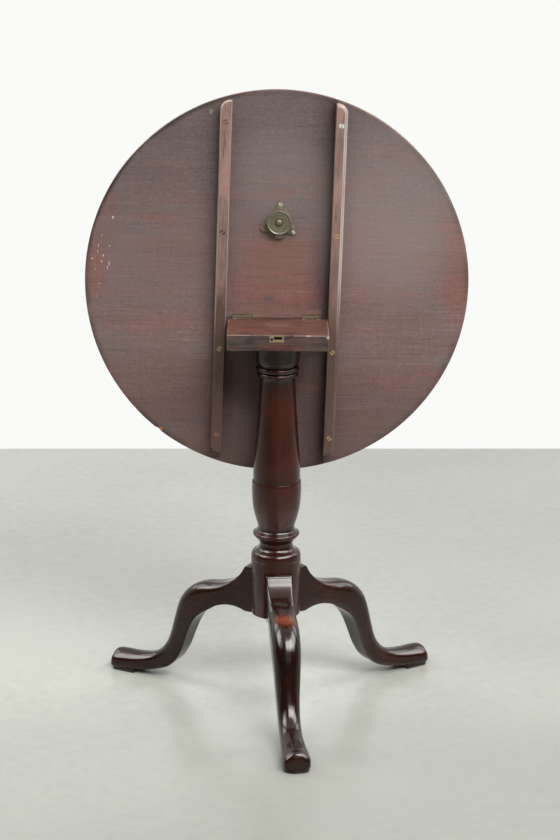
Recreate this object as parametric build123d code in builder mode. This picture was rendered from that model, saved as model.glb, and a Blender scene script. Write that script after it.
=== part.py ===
from build123d import *
from math import atan, cos, degrees, radians, sin
import os

# Tilt top table: a round top on two bearers, hinged to a block on a turned tripod column.
# Millimetres, +Z up, origin on the column's axis at the floor. The catch side faces -Y.
# The top stands tilted, a little past vertical, resting against the block's rear edge.

os.makedirs("parts", exist_ok=True)

# Block on the column's head
block_top = 692.0
block_width = 173.5
block_front = 83.0
block_rear = 59.0
block_thickness = 27.6
block_arris = 1.5

# Hinge line, and the gaps that the top keeps from the block
hinge_setback = 1.3
seat_gap = 0.3
stop_gap = 0.2
hinge_y = block_rear + hinge_setback
block_depth = block_front + block_rear

# Top board
top_radius = 337.0
top_thickness = 19.0
top_edge_bevel = 3.0
top_shift = -3.0

# Bearers, set slightly out of square with the hinge line
bearer_length = 620.0
bearer_width = 20.2
bearer_thickness = 24.0
bearer_chamfer = 3.0
bearer_end_round = 17.0
bearer_side_gap = 2.7
bearer_skew = 1.5
bearer_rise = 6.7
bearer_screw_stations = [share * bearer_length for share in (0.44, 0.133, -0.198, -0.447)]

# Wood screws, kept to few sides because they repeat
head_sides = 10
shank_sides = 4
bearer_screw_head = 4.2
bearer_screw_head_height = 2.6
bearer_screw_shank = 2.2
bearer_screw_bite = 11.0
small_screw_head = 2.9
small_screw_head_height = 1.5
small_screw_shank = 1.4
small_screw_length = 12.0
slot_width = 1.1
slot_depth = 0.9
pilot_gap = 0.05

# Column turning: radii, heights from the floor up, and the shaft's head measured down from the block
column_bottom = 163.0
drum_radius = 44.3
shoulder_height = 273.0
shoulder_top = 283.0
shoulder_top_radius = 37.6
quirk = 1.3
lower_neck_radius = 29.6
lower_neck_height = 294.5
ring_radius = 41.6
ring_height = 314.2
ring_half = 2.8
ring_arris = 1.0
ring_under_radius = 33.5
vase_foot_radius = 32.6
vase_foot_height = 323.5
vase_radius = 43.8
vase_height = 396.0
vase_top = 411.5
vase_lip = 1.5
vase_lip_inset = 0.4
shaft_foot_radius = 41.6
shaft_top_radius = 31.2
shaft_drop = 95.0
lower_bead_radius = 35.4
upper_bead_radius = 38.4
bead_height = 7.5
bead_quirk = 3.0
upper_neck_radius = 33.8
capital_radius = 40.5
capital_lip = 8.0
tenon_radius = 22.0
tenon_gap = 0.1
wedge_width = 4.4
wedge_tip_width = 2.0
wedge_depth = 24.0

# Straight steps that stand for each small moulding of the turning
moulding_steps = 2

# Legs: directions round the column, flat seats on the drum, sliding dovetails, and the soles
leg_angles = {"front": -83.3, "right": 33.4, "left": 153.6}
leg_seat = 36.0
leg_top = 249.0
leg_shelf = 50.0
leg_half_width = 22.5
seat_clearance = 2.0
dovetail_depth = 17.0
dovetail_root = 7.0
dovetail_tip = 10.5
dovetail_top = 232.0
dovetail_gap = 0.1
knee_half_width = 25.2
ankle_half_width = 18.7
toe_half_width = 24.0
core_half_width = 8.0
flat_edge = 15.5
first_slip = 1.4
second_slip = 6.5
toe_end = 336.0
sole_heel = 283.0
sole_corner = 6.0
sole_height = 7.5

# Butt hinges
hinge_places = {"left": -62.5, "right": 58.0}
hinge_length = 36.0
knuckle_radius = 3.5
knuckle_sides = 12
knuckle_count = 3
knuckle_gap = 0.3
knuckle_clearance = 0.5
hinge_pin_radius = 1.5
hinge_pin_gap = 0.05
leaf_widths = {"block": 22.0, "top": 14.0}
leaf_thickness = 2.0
leaf_screw_spacing = 26.0
leaf_screw_inset = 5.5
leaf_fit = 0.1

# Catch: bolt, crank, case and turn button
bolt_width = 11.5
bolt_thickness = 4.2
bolt_reach = 29.5
bolt_engage = 4.5
bolt_bevel = 2.6
bolt_head_width = 20.0
bolt_head_front = 9.0
bolt_head_back = 6.0
bolt_gap = 0.3
layer_gap = 0.2
back_plate_thickness = 2.9
crank_radius = 6.0
crank_swing = 25.0
crank_pin_radius = 1.75
crank_width = 8.0
crank_end = 8.6
crank_thickness = 1.7
case_radius = 19.5
pocket_front = 9.8
pocket_back = 14.4
case_roof = 2.2
lug_thickness = 3.0
lug_half_width = 6.0
lug_end = 6.5
lug_corner = 3.5
lug_circle = 31.0
lug_turn = -4.5
spindle_radius = 4.0
spindle_gap = 0.05
spindle_square = 4.2
knob_radius = 21.0
knob_rim_height = 3.8
knob_rim_width = 2.6
knob_dish = 1.7
knob_boss_radius = 5.4
knob_boss_height = 5.6
spring_thickness = 0.6
spring_height = 3.4
spring_side_gap = 0.7
spring_flat = 3.0

# Strike plate in the block's front edge
strike_left = 14.5
strike_right = 10.0
strike_height = 11.8
strike_thickness = 1.5
strike_screw_x = -10.5
strike_screw_drop = 7.4
slot_side_gap = 1.2
slot_height_gap = 0.8
strike_pocket_depth = 8.0

# Frame of the tilted top: x along the hinge, y up the underside, z out of the underside
lean = degrees(atan((hinge_setback + seat_gap - stop_gap) / block_thickness))
up_the_top = Vector(0, sin(radians(lean)), cos(radians(lean)))
off_the_top = Vector(0, -cos(radians(lean)), sin(radians(lean)))
hinge_point = Vector(0, hinge_y, block_top)
underside = Plane(hinge_point - off_the_top * seat_gap, x_dir=(1, 0, 0), z_dir=off_the_top)
top_centre = hinge_y


def on_underside(x, y, height=0.0):
    """A plane parallel to the underside, through a point given in the top's own frame."""
    return Plane(underside.from_local_coords((x, y, height)), x_dir=(1, 0, 0), z_dir=off_the_top)


# The bearers' frame turns about the middle of the closed block, so the side gaps stay even
skew_point = hinge_setback + block_depth / 2
skew_x = Vector(1, 0, 0) * cos(radians(bearer_skew)) - up_the_top * sin(radians(bearer_skew))
skewed = Plane(underside.from_local_coords((0, skew_point, 0)), x_dir=skew_x, z_dir=off_the_top)
bearer_offset = block_width / 2 + bearer_side_gap + bearer_width / 2
bearer_middle = top_centre + bearer_rise - skew_point


def on_bearer(side, station, height):
    """A plane on a bearer's centre line, given from the bearer's middle."""
    place = (side * bearer_offset, bearer_middle + station, height)
    return Plane(skewed.from_local_coords(place), x_dir=skew_x, z_dir=off_the_top)


def wood_screw(head, head_height, shank, length, slotted=True):
    """A screw or its hole, the head flush with z = 0 and the shank below."""
    with BuildPart() as screw:
        with BuildSketch(Plane.XY):
            RegularPolygon(head, head_sides)
        extrude(amount=-head_height)
        with BuildSketch(Plane.XY):
            RegularPolygon(shank, shank_sides)
        extrude(amount=-length)
        if slotted:
            Box(3 * head, slot_width, 2 * slot_depth, mode=Mode.SUBTRACT)
    return screw.part


bearer_screw_length = bearer_thickness + bearer_screw_bite
bearer_screw = wood_screw(
    bearer_screw_head, bearer_screw_head_height, bearer_screw_shank, bearer_screw_length
)
bearer_screw_hole = wood_screw(
    bearer_screw_head + pilot_gap, bearer_screw_head_height, bearer_screw_shank + pilot_gap,
    bearer_screw_length + pilot_gap, slotted=False,
)
small_screw = wood_screw(
    small_screw_head, small_screw_head_height, small_screw_shank, small_screw_length
)
small_screw_hole = wood_screw(
    small_screw_head + pilot_gap, small_screw_head_height, small_screw_shank + pilot_gap,
    small_screw_length + pilot_gap, slotted=False,
)

# Places that more than one piece shares
bearer_screw_places = {
    side: [on_bearer(side, station, bearer_thickness) for station in bearer_screw_stations]
    for side in (-1, 1)
}
leaf_screw_offsets = (-leaf_screw_spacing / 2, leaf_screw_spacing / 2)
hinge_block_screw_places = [
    Plane((x + step, hinge_y - leaf_widths["block"] + leaf_screw_inset, block_top))
    for x in hinge_places.values()
    for step in leaf_screw_offsets
]
hinge_top_screw_places = [
    on_underside(x + step, leaf_widths["top"] - leaf_screw_inset)
    for x in hinge_places.values()
    for step in leaf_screw_offsets
]
catch_centre = block_depth + hinge_setback + bolt_reach - bolt_engage
lug_angles = [90 + lug_turn + 120 * i for i in range(3)]
catch_screw_places = [
    on_underside(
        lug_circle * cos(radians(angle)), catch_centre + lug_circle * sin(radians(angle)), lug_thickness
    )
    for angle in lug_angles
]
bolt_floor = back_plate_thickness + layer_gap
bolt_middle = bolt_floor + bolt_thickness / 2
strike_front = Plane((0, -block_front, block_top), x_dir=(1, 0, 0), z_dir=(0, -1, 0))
slot_drop = bolt_middle - seat_gap
slot_width_strike = bolt_width + 2 * slot_side_gap
slot_height_strike = bolt_thickness + 2 * slot_height_gap
strike_screw_place = Plane(
    (strike_screw_x, -block_front, block_top - strike_screw_drop), x_dir=(1, 0, 0), z_dir=(0, -1, 0)
)
hinge_line = Plane((0, hinge_y, block_top), x_dir=(0, 1, 0), z_dir=(1, 0, 0))
knuckle_room = knuckle_radius + knuckle_clearance

# Top board, with beds for the hinge leaves and room for the knuckles
with BuildPart() as top:
    with BuildSketch(on_underside(top_shift, top_centre)):
        Circle(top_radius)
    extrude(amount=-top_thickness)
    show_face = top.faces().filter_by(GeomType.PLANE).sort_by(Axis((0, 0, 0), off_the_top))[0]
    chamfer(show_face.edges(), top_edge_bevel)
    for x in hinge_places.values():
        with BuildSketch(on_underside(x, 0)):
            Rectangle(hinge_length + 2 * knuckle_clearance, 2 * knuckle_room)
        extrude(amount=-knuckle_room, mode=Mode.SUBTRACT)
        with BuildSketch(on_underside(x, leaf_widths["top"] / 2)):
            Rectangle(hinge_length + 2 * leaf_fit, leaf_widths["top"] + 2 * leaf_fit)
        extrude(amount=-leaf_thickness - leaf_fit, mode=Mode.SUBTRACT)
    with Locations(*hinge_top_screw_places, *catch_screw_places):
        add(small_screw_hole, mode=Mode.SUBTRACT)
    with Locations(*bearer_screw_places[-1], *bearer_screw_places[1]):
        add(bearer_screw_hole, mode=Mode.SUBTRACT)
top.part.label = "top"
export_step(top.part, "parts/top.step")

# Bearers and their screws
for side, hand in ((-1, "left"), (1, "right")):
    with BuildPart() as bearer:
        with BuildSketch(on_bearer(side, 0, 0)) as outline:
            Rectangle(bearer_width, bearer_length)
            outer_corners = outline.vertices().group_by(Axis((0, 0, 0), skew_x * side))[-1]
            fillet(outer_corners, bearer_end_round)
        extrude(amount=bearer_thickness)
        chamfer(bearer.faces().sort_by(Axis((0, 0, 0), off_the_top))[-1].edges(), bearer_chamfer)
        with Locations(*bearer_screw_places[side]):
            add(bearer_screw_hole, mode=Mode.SUBTRACT)
    bearer.part.label = "bearer_" + hand
    export_step(bearer.part, "parts/bearer_" + hand + ".step")

    with BuildPart() as bearer_screws:
        with Locations(*bearer_screw_places[side]):
            add(bearer_screw)
    bearer_screws.part.label = "bearer_screws_" + hand
    export_step(bearer_screws.part, "parts/bearer_screws_" + hand + ".step")

# Block, bored for the tenon and cut for hinges, strike and bolt
with BuildPart() as block:
    with BuildSketch(Plane.XY.offset(block_top - block_thickness)):
        with Locations((0, (block_rear - block_front) / 2)):
            Rectangle(block_width, block_depth)
    extrude(amount=block_thickness)
    chamfer(block.edges().filter_by(Axis.Z), block_arris)
    chamfer(block.faces().sort_by(Axis.Z)[0].edges(), block_arris)
    with Locations((0, 0, block_top)):
        Hole(tenon_radius + tenon_gap)
    for x in hinge_places.values():
        with BuildSketch(Plane((x, hinge_y, block_top))):
            Rectangle(hinge_length + 2 * knuckle_clearance, 2 * knuckle_room)
        extrude(amount=-knuckle_room, mode=Mode.SUBTRACT)
        with BuildSketch(Plane((x, hinge_y - leaf_widths["block"] / 2, block_top))):
            Rectangle(hinge_length + 2 * leaf_fit, leaf_widths["block"] + 2 * leaf_fit)
        extrude(amount=-leaf_thickness - leaf_fit, mode=Mode.SUBTRACT)
    with Locations(*hinge_block_screw_places, strike_screw_place):
        add(small_screw_hole, mode=Mode.SUBTRACT)
    with BuildSketch(strike_front):
        with Locations(((strike_right - strike_left) / 2, -strike_height / 2)):
            Rectangle(strike_left + strike_right + 2 * leaf_fit, strike_height + 2 * leaf_fit)
    extrude(amount=-strike_thickness - leaf_fit, mode=Mode.SUBTRACT)
    with BuildSketch(strike_front):
        with Locations((0, -slot_drop)):
            Rectangle(slot_width_strike, slot_height_strike)
    extrude(amount=-strike_pocket_depth, mode=Mode.SUBTRACT)
block.part.label = "block"
export_step(block.part, "parts/block.step")

# Column turning: the curves are drawn first, then followed in straight steps
shaft_top = block_top - shaft_drop
bead_start = shaft_top + bead_quirk
bead_middle = bead_start + bead_height
bead_end = bead_middle + bead_height
neck_bottom = block_top - block_thickness
vase_swell = (vase_foot_radius + vase_radius) / 2
vase_swell_height = vase_foot_height + 0.36 * (vase_height - vase_foot_height)


def in_steps(curve, count):
    """Points that follow a curve of the turning, from its start to its end."""
    return [curve @ (i / count) for i in range(count + 1)]


with BuildPart() as column:
    with BuildSketch(Plane.XZ):
        with BuildLine():
            torus = TangentArc(
                (shoulder_top_radius - quirk, shoulder_top),
                (lower_neck_radius + quirk, lower_neck_height - 2 * quirk),
                tangent=(0, 1), mode=Mode.PRIVATE,
            )
            cove = ThreePointArc(
                torus @ 1,
                (lower_neck_radius, lower_neck_height + 2 * quirk),
                (ring_under_radius, ring_height - 3 * ring_half),
                mode=Mode.PRIVATE,
            )
            vase = Spline(
                (vase_foot_radius, vase_foot_height),
                (vase_swell, vase_swell_height),
                (vase_radius, vase_height),
                (vase_radius - vase_lip_inset, vase_top - vase_lip),
                tangents=((0, 1), (-0.1, 1)), mode=Mode.PRIVATE,
            )
            lower_bead = ThreePointArc(
                (shaft_top_radius + quirk, bead_start),
                (lower_bead_radius, (bead_start + bead_middle) / 2),
                (lower_bead_radius - 2 * quirk, bead_middle),
                mode=Mode.PRIVATE,
            )
            upper_bead = ThreePointArc(
                lower_bead @ 1,
                (upper_bead_radius, (bead_middle + bead_end) / 2),
                (upper_neck_radius, bead_end),
                mode=Mode.PRIVATE,
            )
            Polyline(
                (0, column_bottom), (drum_radius, column_bottom),
                (drum_radius, shoulder_height), (shoulder_top_radius, shoulder_top),
                *in_steps(torus, moulding_steps),
                *in_steps(cove, moulding_steps)[1:],
                (ring_radius - ring_arris, ring_height - ring_half), (ring_radius, ring_height),
                (ring_radius - ring_arris, ring_height + ring_half),
                *in_steps(vase, moulding_steps),
                (shaft_foot_radius, vase_top + quirk), (shaft_top_radius, shaft_top),
                *in_steps(lower_bead, moulding_steps),
                *in_steps(upper_bead, moulding_steps)[1:],
                (capital_radius, neck_bottom - capital_lip), (capital_radius, neck_bottom),
                (tenon_radius, neck_bottom), (tenon_radius, block_top), (0, block_top),
                close=True,
            )
        make_face()
    revolve(axis=Axis.Z)
    with BuildSketch(Plane.XY.offset(column_bottom)):
        for angle in leg_angles.values():
            with PolarLocations(leg_seat + drum_radius / 2, 1, start_angle=angle):
                Rectangle(drum_radius, 2 * drum_radius)
    extrude(amount=leg_top + seat_clearance - column_bottom, mode=Mode.SUBTRACT)
    with BuildSketch(Plane.XY.offset(column_bottom)):
        for angle in leg_angles.values():
            with PolarLocations(0, 1, start_angle=angle):
                Polygon(
                    (leg_seat, dovetail_root + dovetail_gap), (leg_seat, -dovetail_root - dovetail_gap),
                    (leg_seat - dovetail_depth - dovetail_gap, -dovetail_tip - dovetail_gap),
                    (leg_seat - dovetail_depth - dovetail_gap, dovetail_tip + dovetail_gap),
                    align=None,
                )
    extrude(amount=dovetail_top + dovetail_gap - column_bottom, mode=Mode.SUBTRACT)
    with BuildSketch(Plane.YZ.offset(-2 * tenon_radius)):
        Polygon(
            (-wedge_width / 2, block_top), (wedge_width / 2, block_top),
            (wedge_tip_width / 2, block_top - wedge_depth), (-wedge_tip_width / 2, block_top - wedge_depth),
            align=None,
        )
    extrude(amount=4 * tenon_radius, mode=Mode.SUBTRACT)
column.part.label = "column"
export_step(column.part, "parts/column.step")

# Wedge driven into the tenon
with BuildPart() as column_wedge:
    with BuildSketch(Plane.YZ.offset(-2 * tenon_radius)):
        Polygon(
            (-wedge_width / 2, block_top), (wedge_width / 2, block_top),
            (wedge_tip_width / 2, block_top - wedge_depth), (-wedge_tip_width / 2, block_top - wedge_depth),
            align=None,
        )
    extrude(amount=4 * tenon_radius)
    with BuildSketch(Plane.XY.offset(block_top - wedge_depth)):
        Circle(tenon_radius)
    extrude(amount=wedge_depth, mode=Mode.INTERSECT)
column_wedge.part.label = "column_wedge"
export_step(column_wedge.part, "parts/column_wedge.step")

# Leg outline from the side, as shares of its reach and its height: the back, then the underside
leg_reach = toe_end - leg_shelf
back_shares = [
    (0.035, 0.940), (0.091, 0.878), (0.157, 0.831), (0.236, 0.815), (0.315, 0.806),
    (0.379, 0.779), (0.435, 0.735), (0.481, 0.669), (0.510, 0.590), (0.537, 0.482),
    (0.570, 0.353), (0.596, 0.283), (0.636, 0.222), (0.685, 0.182), (0.741, 0.162),
    (0.822, 0.154), (0.902, 0.157), (0.948, 0.156), (0.978, 0.146), (0.994, 0.122),
]
underside_shares = [
    (0.031, 0.667), (0.080, 0.682), (0.140, 0.682), (0.203, 0.661), (0.250, 0.627),
    (0.292, 0.596), (0.334, 0.566), (0.369, 0.516), (0.397, 0.460), (0.428, 0.373),
    (0.460, 0.271), (0.488, 0.207), (0.522, 0.150), (0.577, 0.098), (0.675, 0.058),
    (0.752, 0.038),
]


def on_leg(shares):
    """Points of the leg's side view, (out, up), from shares of its reach and its height."""
    return [(leg_shelf + out * leg_reach, up * leg_top) for out, up in shares]


def between(start, end, share):
    """A size that lies a share of the way from one size to another."""
    return start + share * (end - start)


leg_back = [(leg_seat, leg_top), (leg_shelf, leg_top), *on_leg(back_shares), (toe_end, sole_height)]
leg_sole = [(toe_end, 0), (sole_heel, 0), (sole_heel, sole_height)]
leg_underside = [
    (leg_seat, column_bottom), (leg_shelf, column_bottom), *on_leg(underside_shares),
]
leg_outline = leg_back + leg_sole + leg_underside[::-1]

# Half widths of the leg, seen from the front as (half, up) and from above as (out, half)
shin = [(0.85, 0.582), (0.58, 0.474), (0.29, 0.37), (0.08, 0.265), (0, 0.2)]
leg_front_widths = [
    (leg_half_width, 2 * leg_top), (leg_half_width, 0.94 * leg_top),
    (knee_half_width, 0.763 * leg_top), (knee_half_width, 0.663 * leg_top),
    *[(between(ankle_half_width, knee_half_width, half), up * leg_top) for half, up in shin],
    (knee_half_width, 0.177 * leg_top), (knee_half_width, 0),
]
instep = [(0.524, 1), (0.542, 0.55), (0.57, 0.26), (0.601, 0.09), (0.64, 0), (0.7, 0)]
leg_plan_widths = [
    (0, knee_half_width),
    *[
        (leg_shelf + out * leg_reach, between(ankle_half_width, knee_half_width, half))
        for out, half in instep
    ],
    (leg_shelf + 0.822 * leg_reach, between(ankle_half_width, toe_half_width, 0.5)),
    (leg_shelf + 0.895 * leg_reach, toe_half_width),
    (toe_end - sole_corner, toe_half_width), (toe_end, toe_half_width - sole_corner),
]


def slipped(outline, slip):
    """The outline moved inward and down, as the upper edges fall away towards a flank."""
    return [(out - slip, up - slip) for out, up in outline]


# The flank of a leg: its upper edges fall away in two flats
with BuildPart() as flank:
    with BuildSketch(Plane.XZ.offset(-knee_half_width)):
        Polygon(*leg_outline, align=None)
    extrude(amount=knee_half_width - core_half_width)
with BuildPart() as flats:
    with BuildSketch(Plane.XZ.offset(-core_half_width)):
        Polygon(*leg_outline, align=None)
    first_fall = Vector(-first_slip, flat_edge - core_half_width, -first_slip)
    extrude(amount=first_fall.length, dir=first_fall)
    with BuildSketch(Plane.XZ.offset(-flat_edge)):
        Polygon(*slipped(leg_outline, first_slip), align=None)
    second_fall = Vector(-second_slip, knee_half_width - flat_edge, -second_slip)
    extrude(amount=second_fall.length, dir=second_fall)
    add(flank.part, mode=Mode.INTERSECT)

# One leg along +X: sawn from the side, flanks added, then cut to its widths, with the dovetail
with BuildPart() as leg:
    with BuildSketch(Plane.XZ):
        Polygon(*leg_outline, align=None)
    extrude(amount=core_half_width, both=True)
    add(flats.part)
    mirror(flats.part, about=Plane.XZ)
    with BuildSketch(Plane.YZ):
        Polygon(*leg_front_widths, *[(-half, up) for half, up in reversed(leg_front_widths)], align=None)
    extrude(amount=toe_end, mode=Mode.INTERSECT)
    with BuildSketch(Plane.XY):
        Polygon(*leg_plan_widths, *[(out, -half) for out, half in reversed(leg_plan_widths)], align=None)
    extrude(amount=leg_top, mode=Mode.INTERSECT)
    with BuildSketch(Plane.XY.offset(column_bottom)):
        Polygon(
            (leg_seat, dovetail_root), (leg_seat, -dovetail_root),
            (leg_seat - dovetail_depth, -dovetail_tip), (leg_seat - dovetail_depth, dovetail_tip),
            align=None,
        )
    extrude(amount=dovetail_top - column_bottom)

for hand, angle in leg_angles.items():
    with BuildPart() as placed_leg:
        with Locations(Rotation(0, 0, angle)):
            add(leg.part)
    placed_leg.part.label = "leg_" + hand
    export_step(placed_leg.part, "parts/leg_" + hand + ".step")

# Groups of the one small screw
screw_groups = {
    "hinge_block_screws": hinge_block_screw_places,
    "hinge_top_screws": hinge_top_screw_places,
    "catch_screws": catch_screw_places,
    "strike_screw": [strike_screw_place],
}
for name, places in screw_groups.items():
    with BuildPart() as screws:
        with Locations(*places):
            add(small_screw)
    screws.part.label = name
    export_step(screws.part, "parts/" + name + ".step")

# Strike plate, flush in the block's front edge
with BuildPart() as strike_plate:
    with BuildSketch(strike_front):
        with Locations(((strike_right - strike_left) / 2, -strike_height / 2)):
            Rectangle(strike_left + strike_right, strike_height)
        with Locations((0, -slot_drop)):
            Rectangle(slot_width_strike, slot_height_strike, mode=Mode.SUBTRACT)
    extrude(amount=-strike_thickness)
    with Locations(strike_screw_place):
        add(small_screw_hole, mode=Mode.SUBTRACT)
strike_plate.part.label = "strike_plate"
export_step(strike_plate.part, "parts/strike_plate.step")

# Butt hinges: the block's leaf has the outer knuckles, the top's leaf the middle one
knuckle_pitch = hinge_length / knuckle_count
knuckle_length = knuckle_pitch - knuckle_gap
leaf_start = knuckle_radius + knuckle_gap
for hand, x in hinge_places.items():
    leaves = {
        "block": (Plane((x, hinge_y, block_top), x_dir=(-1, 0, 0), z_dir=(0, 0, 1)), 0),
        "top": (on_underside(x, 0), 1),
    }
    for owner, (leaf_plane, first_knuckle) in leaves.items():
        own_knuckles = range(first_knuckle, knuckle_count, 2)
        screw_places = hinge_block_screw_places if owner == "block" else hinge_top_screw_places
        leaf_width = leaf_widths[owner]
        with BuildPart() as leaf:
            with BuildSketch(leaf_plane):
                with Locations((0, (leaf_start + leaf_width) / 2)):
                    Rectangle(hinge_length, leaf_width - leaf_start)
                for i in own_knuckles:
                    with Locations(((i + 0.5) * knuckle_pitch - hinge_length / 2, leaf_start / 2)):
                        Rectangle(knuckle_length, leaf_start)
            extrude(amount=-leaf_thickness)
            for i in own_knuckles:
                knuckle_start = x - hinge_length / 2 + i * knuckle_pitch + knuckle_gap / 2
                with BuildSketch(hinge_line.offset(knuckle_start)):
                    RegularPolygon(knuckle_radius, knuckle_sides)
                extrude(amount=knuckle_length)
            with BuildSketch(hinge_line.offset(x - hinge_length)):
                Circle(hinge_pin_radius + hinge_pin_gap)
            extrude(amount=2 * hinge_length, mode=Mode.SUBTRACT)
            with Locations(*[place for place in screw_places if abs(place.origin.X - x) < hinge_length]):
                add(small_screw_hole, mode=Mode.SUBTRACT)
        leaf.part.label = "hinge_" + hand + "_" + owner + "_leaf"
        export_step(leaf.part, "parts/" + leaf.part.label + ".step")

    with BuildPart() as hinge_pin:
        with BuildSketch(hinge_line.offset(x - hinge_length / 2)):
            Circle(hinge_pin_radius)
        extrude(amount=hinge_length)
    hinge_pin.part.label = "hinge_" + hand + "_pin"
    export_step(hinge_pin.part, "parts/" + hinge_pin.part.label + ".step")

# Catch layers, counted off the underside
crank_floor = bolt_floor + bolt_thickness + layer_gap
case_height = crank_floor + crank_thickness + layer_gap + case_roof
knob_floor = case_height + bolt_gap
pin_x = crank_radius * cos(radians(crank_swing))
pin_y = -crank_radius * sin(radians(crank_swing))
pocket_width = bolt_head_width + 2 * bolt_gap
spring_half_span = pocket_width / 2 - spring_side_gap
catch_plane = on_underside(0, catch_centre)
catch_axis = Axis(catch_plane.origin, off_the_top)
catch_section = Plane(catch_plane.origin, x_dir=(1, 0, 0), z_dir=up_the_top * -1)

# Case: a round cup with a square pocket and three lugs, notched for the bolt
with BuildPart() as catch_case:
    with BuildSketch(catch_plane):
        Circle(case_radius)
        for angle in lug_angles:
            with PolarLocations(0, 1, start_angle=angle):
                Polygon(
                    (0, lug_half_width), (lug_circle + lug_end - lug_corner, lug_half_width),
                    (lug_circle + lug_end, lug_half_width - lug_corner),
                    (lug_circle + lug_end, lug_corner - lug_half_width),
                    (lug_circle + lug_end - lug_corner, -lug_half_width), (0, -lug_half_width),
                    align=None,
                )
    extrude(amount=lug_thickness)
    with BuildSketch(catch_plane):
        Circle(case_radius)
    extrude(amount=case_height)
    with BuildSketch(catch_plane):
        with Locations((0, (pocket_back - pocket_front) / 2)):
            Rectangle(pocket_width, pocket_front + pocket_back)
    extrude(amount=case_height - case_roof, mode=Mode.SUBTRACT)
    with BuildSketch(catch_plane.offset(bolt_floor - bolt_gap)):
        with Locations((0, -case_radius)):
            Rectangle(bolt_width + 2 * bolt_gap, 2 * (case_radius - bolt_head_front))
    extrude(amount=bolt_thickness + 2 * bolt_gap, mode=Mode.SUBTRACT)
    with Locations(catch_plane.offset(case_height)):
        Hole(spindle_radius + spindle_gap, 2 * case_roof)
    with Locations(*catch_screw_places):
        add(small_screw_hole, mode=Mode.SUBTRACT)
catch_case.part.label = "catch_case"
export_step(catch_case.part, "parts/catch_case.step")

# Back plate that closes the pocket against the wood
with BuildPart() as catch_back_plate:
    with BuildSketch(catch_plane):
        with Locations((0, (pocket_back - pocket_front) / 2)):
            Rectangle(pocket_width - 2 * leaf_fit, pocket_front + pocket_back - 2 * leaf_fit)
    extrude(amount=back_plate_thickness)
catch_back_plate.part.label = "catch_back_plate"
export_step(catch_back_plate.part, "parts/catch_back_plate.step")

# Bolt: bevelled nose, and a head with a cross slot for the crank pin
with BuildPart() as catch_bolt:
    with BuildSketch(catch_plane.offset(bolt_floor)):
        with Locations((0, -bolt_reach / 2)):
            Rectangle(bolt_width, bolt_reach)
        with Locations((0, (bolt_head_back - bolt_head_front) / 2)):
            Rectangle(bolt_head_width, bolt_head_front + bolt_head_back)
        with Locations(((pin_x + crank_radius) / 2, pin_y)):
            slot_reach = crank_radius - pin_x + 2 * (crank_pin_radius + bolt_gap)
            Rectangle(slot_reach, 2 * (crank_pin_radius + bolt_gap), mode=Mode.SUBTRACT)
    extrude(amount=bolt_thickness)
    nose = catch_bolt.faces().sort_by(Axis((0, 0, 0), up_the_top))[0]
    chamfer(nose.edges().sort_by(Axis((0, 0, 0), off_the_top))[-1], bolt_bevel)
catch_bolt.part.label = "catch_bolt"
export_step(catch_bolt.part, "parts/catch_bolt.step")

# Spindle with its crank arm, crank pin and the square that carries the button
with BuildPart() as catch_spindle:
    with BuildSketch(catch_plane.offset(crank_floor)):
        with Locations(Rotation(0, 0, -crank_swing)):
            with Locations(((crank_end - spindle_radius) / 2, 0)):
                Rectangle(crank_end + spindle_radius, crank_width)
    extrude(amount=crank_thickness)
    with BuildSketch(catch_plane.offset(crank_floor)):
        Circle(spindle_radius)
    extrude(amount=knob_floor - crank_floor)
    with BuildSketch(catch_plane.offset(knob_floor)):
        Rectangle(spindle_square, spindle_square)
    extrude(amount=knob_boss_height)
    with BuildSketch(catch_plane.offset(bolt_floor + layer_gap)):
        with Locations((pin_x, pin_y)):
            Circle(crank_pin_radius)
    extrude(amount=bolt_thickness)
catch_spindle.part.label = "catch_spindle"
export_step(catch_spindle.part, "parts/catch_spindle.step")

# Turn button: a dished disc with a raised rim and a boss
rim_top = knob_floor + knob_rim_height
dish_floor = rim_top - knob_dish
boss_top = knob_floor + knob_boss_height
with BuildPart() as catch_knob:
    with BuildSketch(catch_section):
        with BuildLine():
            Polyline(
                (0, knob_floor), (knob_radius, knob_floor), (knob_radius, rim_top),
                (knob_radius - knob_rim_width, rim_top), (knob_radius - knob_rim_width, dish_floor),
                (knob_boss_radius, dish_floor),
                (knob_boss_radius, boss_top), (0, boss_top),
                close=True,
            )
        make_face()
    revolve(axis=catch_axis)
    with BuildSketch(catch_plane.offset(knob_floor)):
        Rectangle(spindle_square + 2 * pilot_gap, spindle_square + 2 * pilot_gap)
    extrude(amount=knob_boss_height, mode=Mode.SUBTRACT)
catch_knob.part.label = "catch_knob"
export_step(catch_knob.part, "parts/catch_knob.step")

# Leaf spring between the pocket's end and the bolt's head
spring_end = pocket_back - bolt_gap - spring_thickness
spring_bow = bolt_head_back + bolt_gap
with BuildPart() as catch_spring:
    with BuildSketch(catch_plane.offset(bolt_floor + layer_gap)):
        Polygon(
            (-spring_half_span, spring_end), (-spring_flat, spring_bow), (spring_flat, spring_bow),
            (spring_half_span, spring_end), (spring_half_span, spring_end + spring_thickness),
            (spring_flat, spring_bow + spring_thickness), (-spring_flat, spring_bow + spring_thickness),
            (-spring_half_span, spring_end + spring_thickness),
            align=None,
        )
    extrude(amount=spring_height)
catch_spring.part.label = "catch_spring"
export_step(catch_spring.part, "parts/catch_spring.step")
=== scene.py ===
"""Looks of a round tilt top tripod table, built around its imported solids."""

import logging
import math
from dataclasses import dataclass
from enum import Enum
from typing import Any, Callable, Dict, List, Optional, Sequence, Tuple, Union

import bmesh
import bpy
import numpy as np
from mathutils import Matrix, Vector


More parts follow.
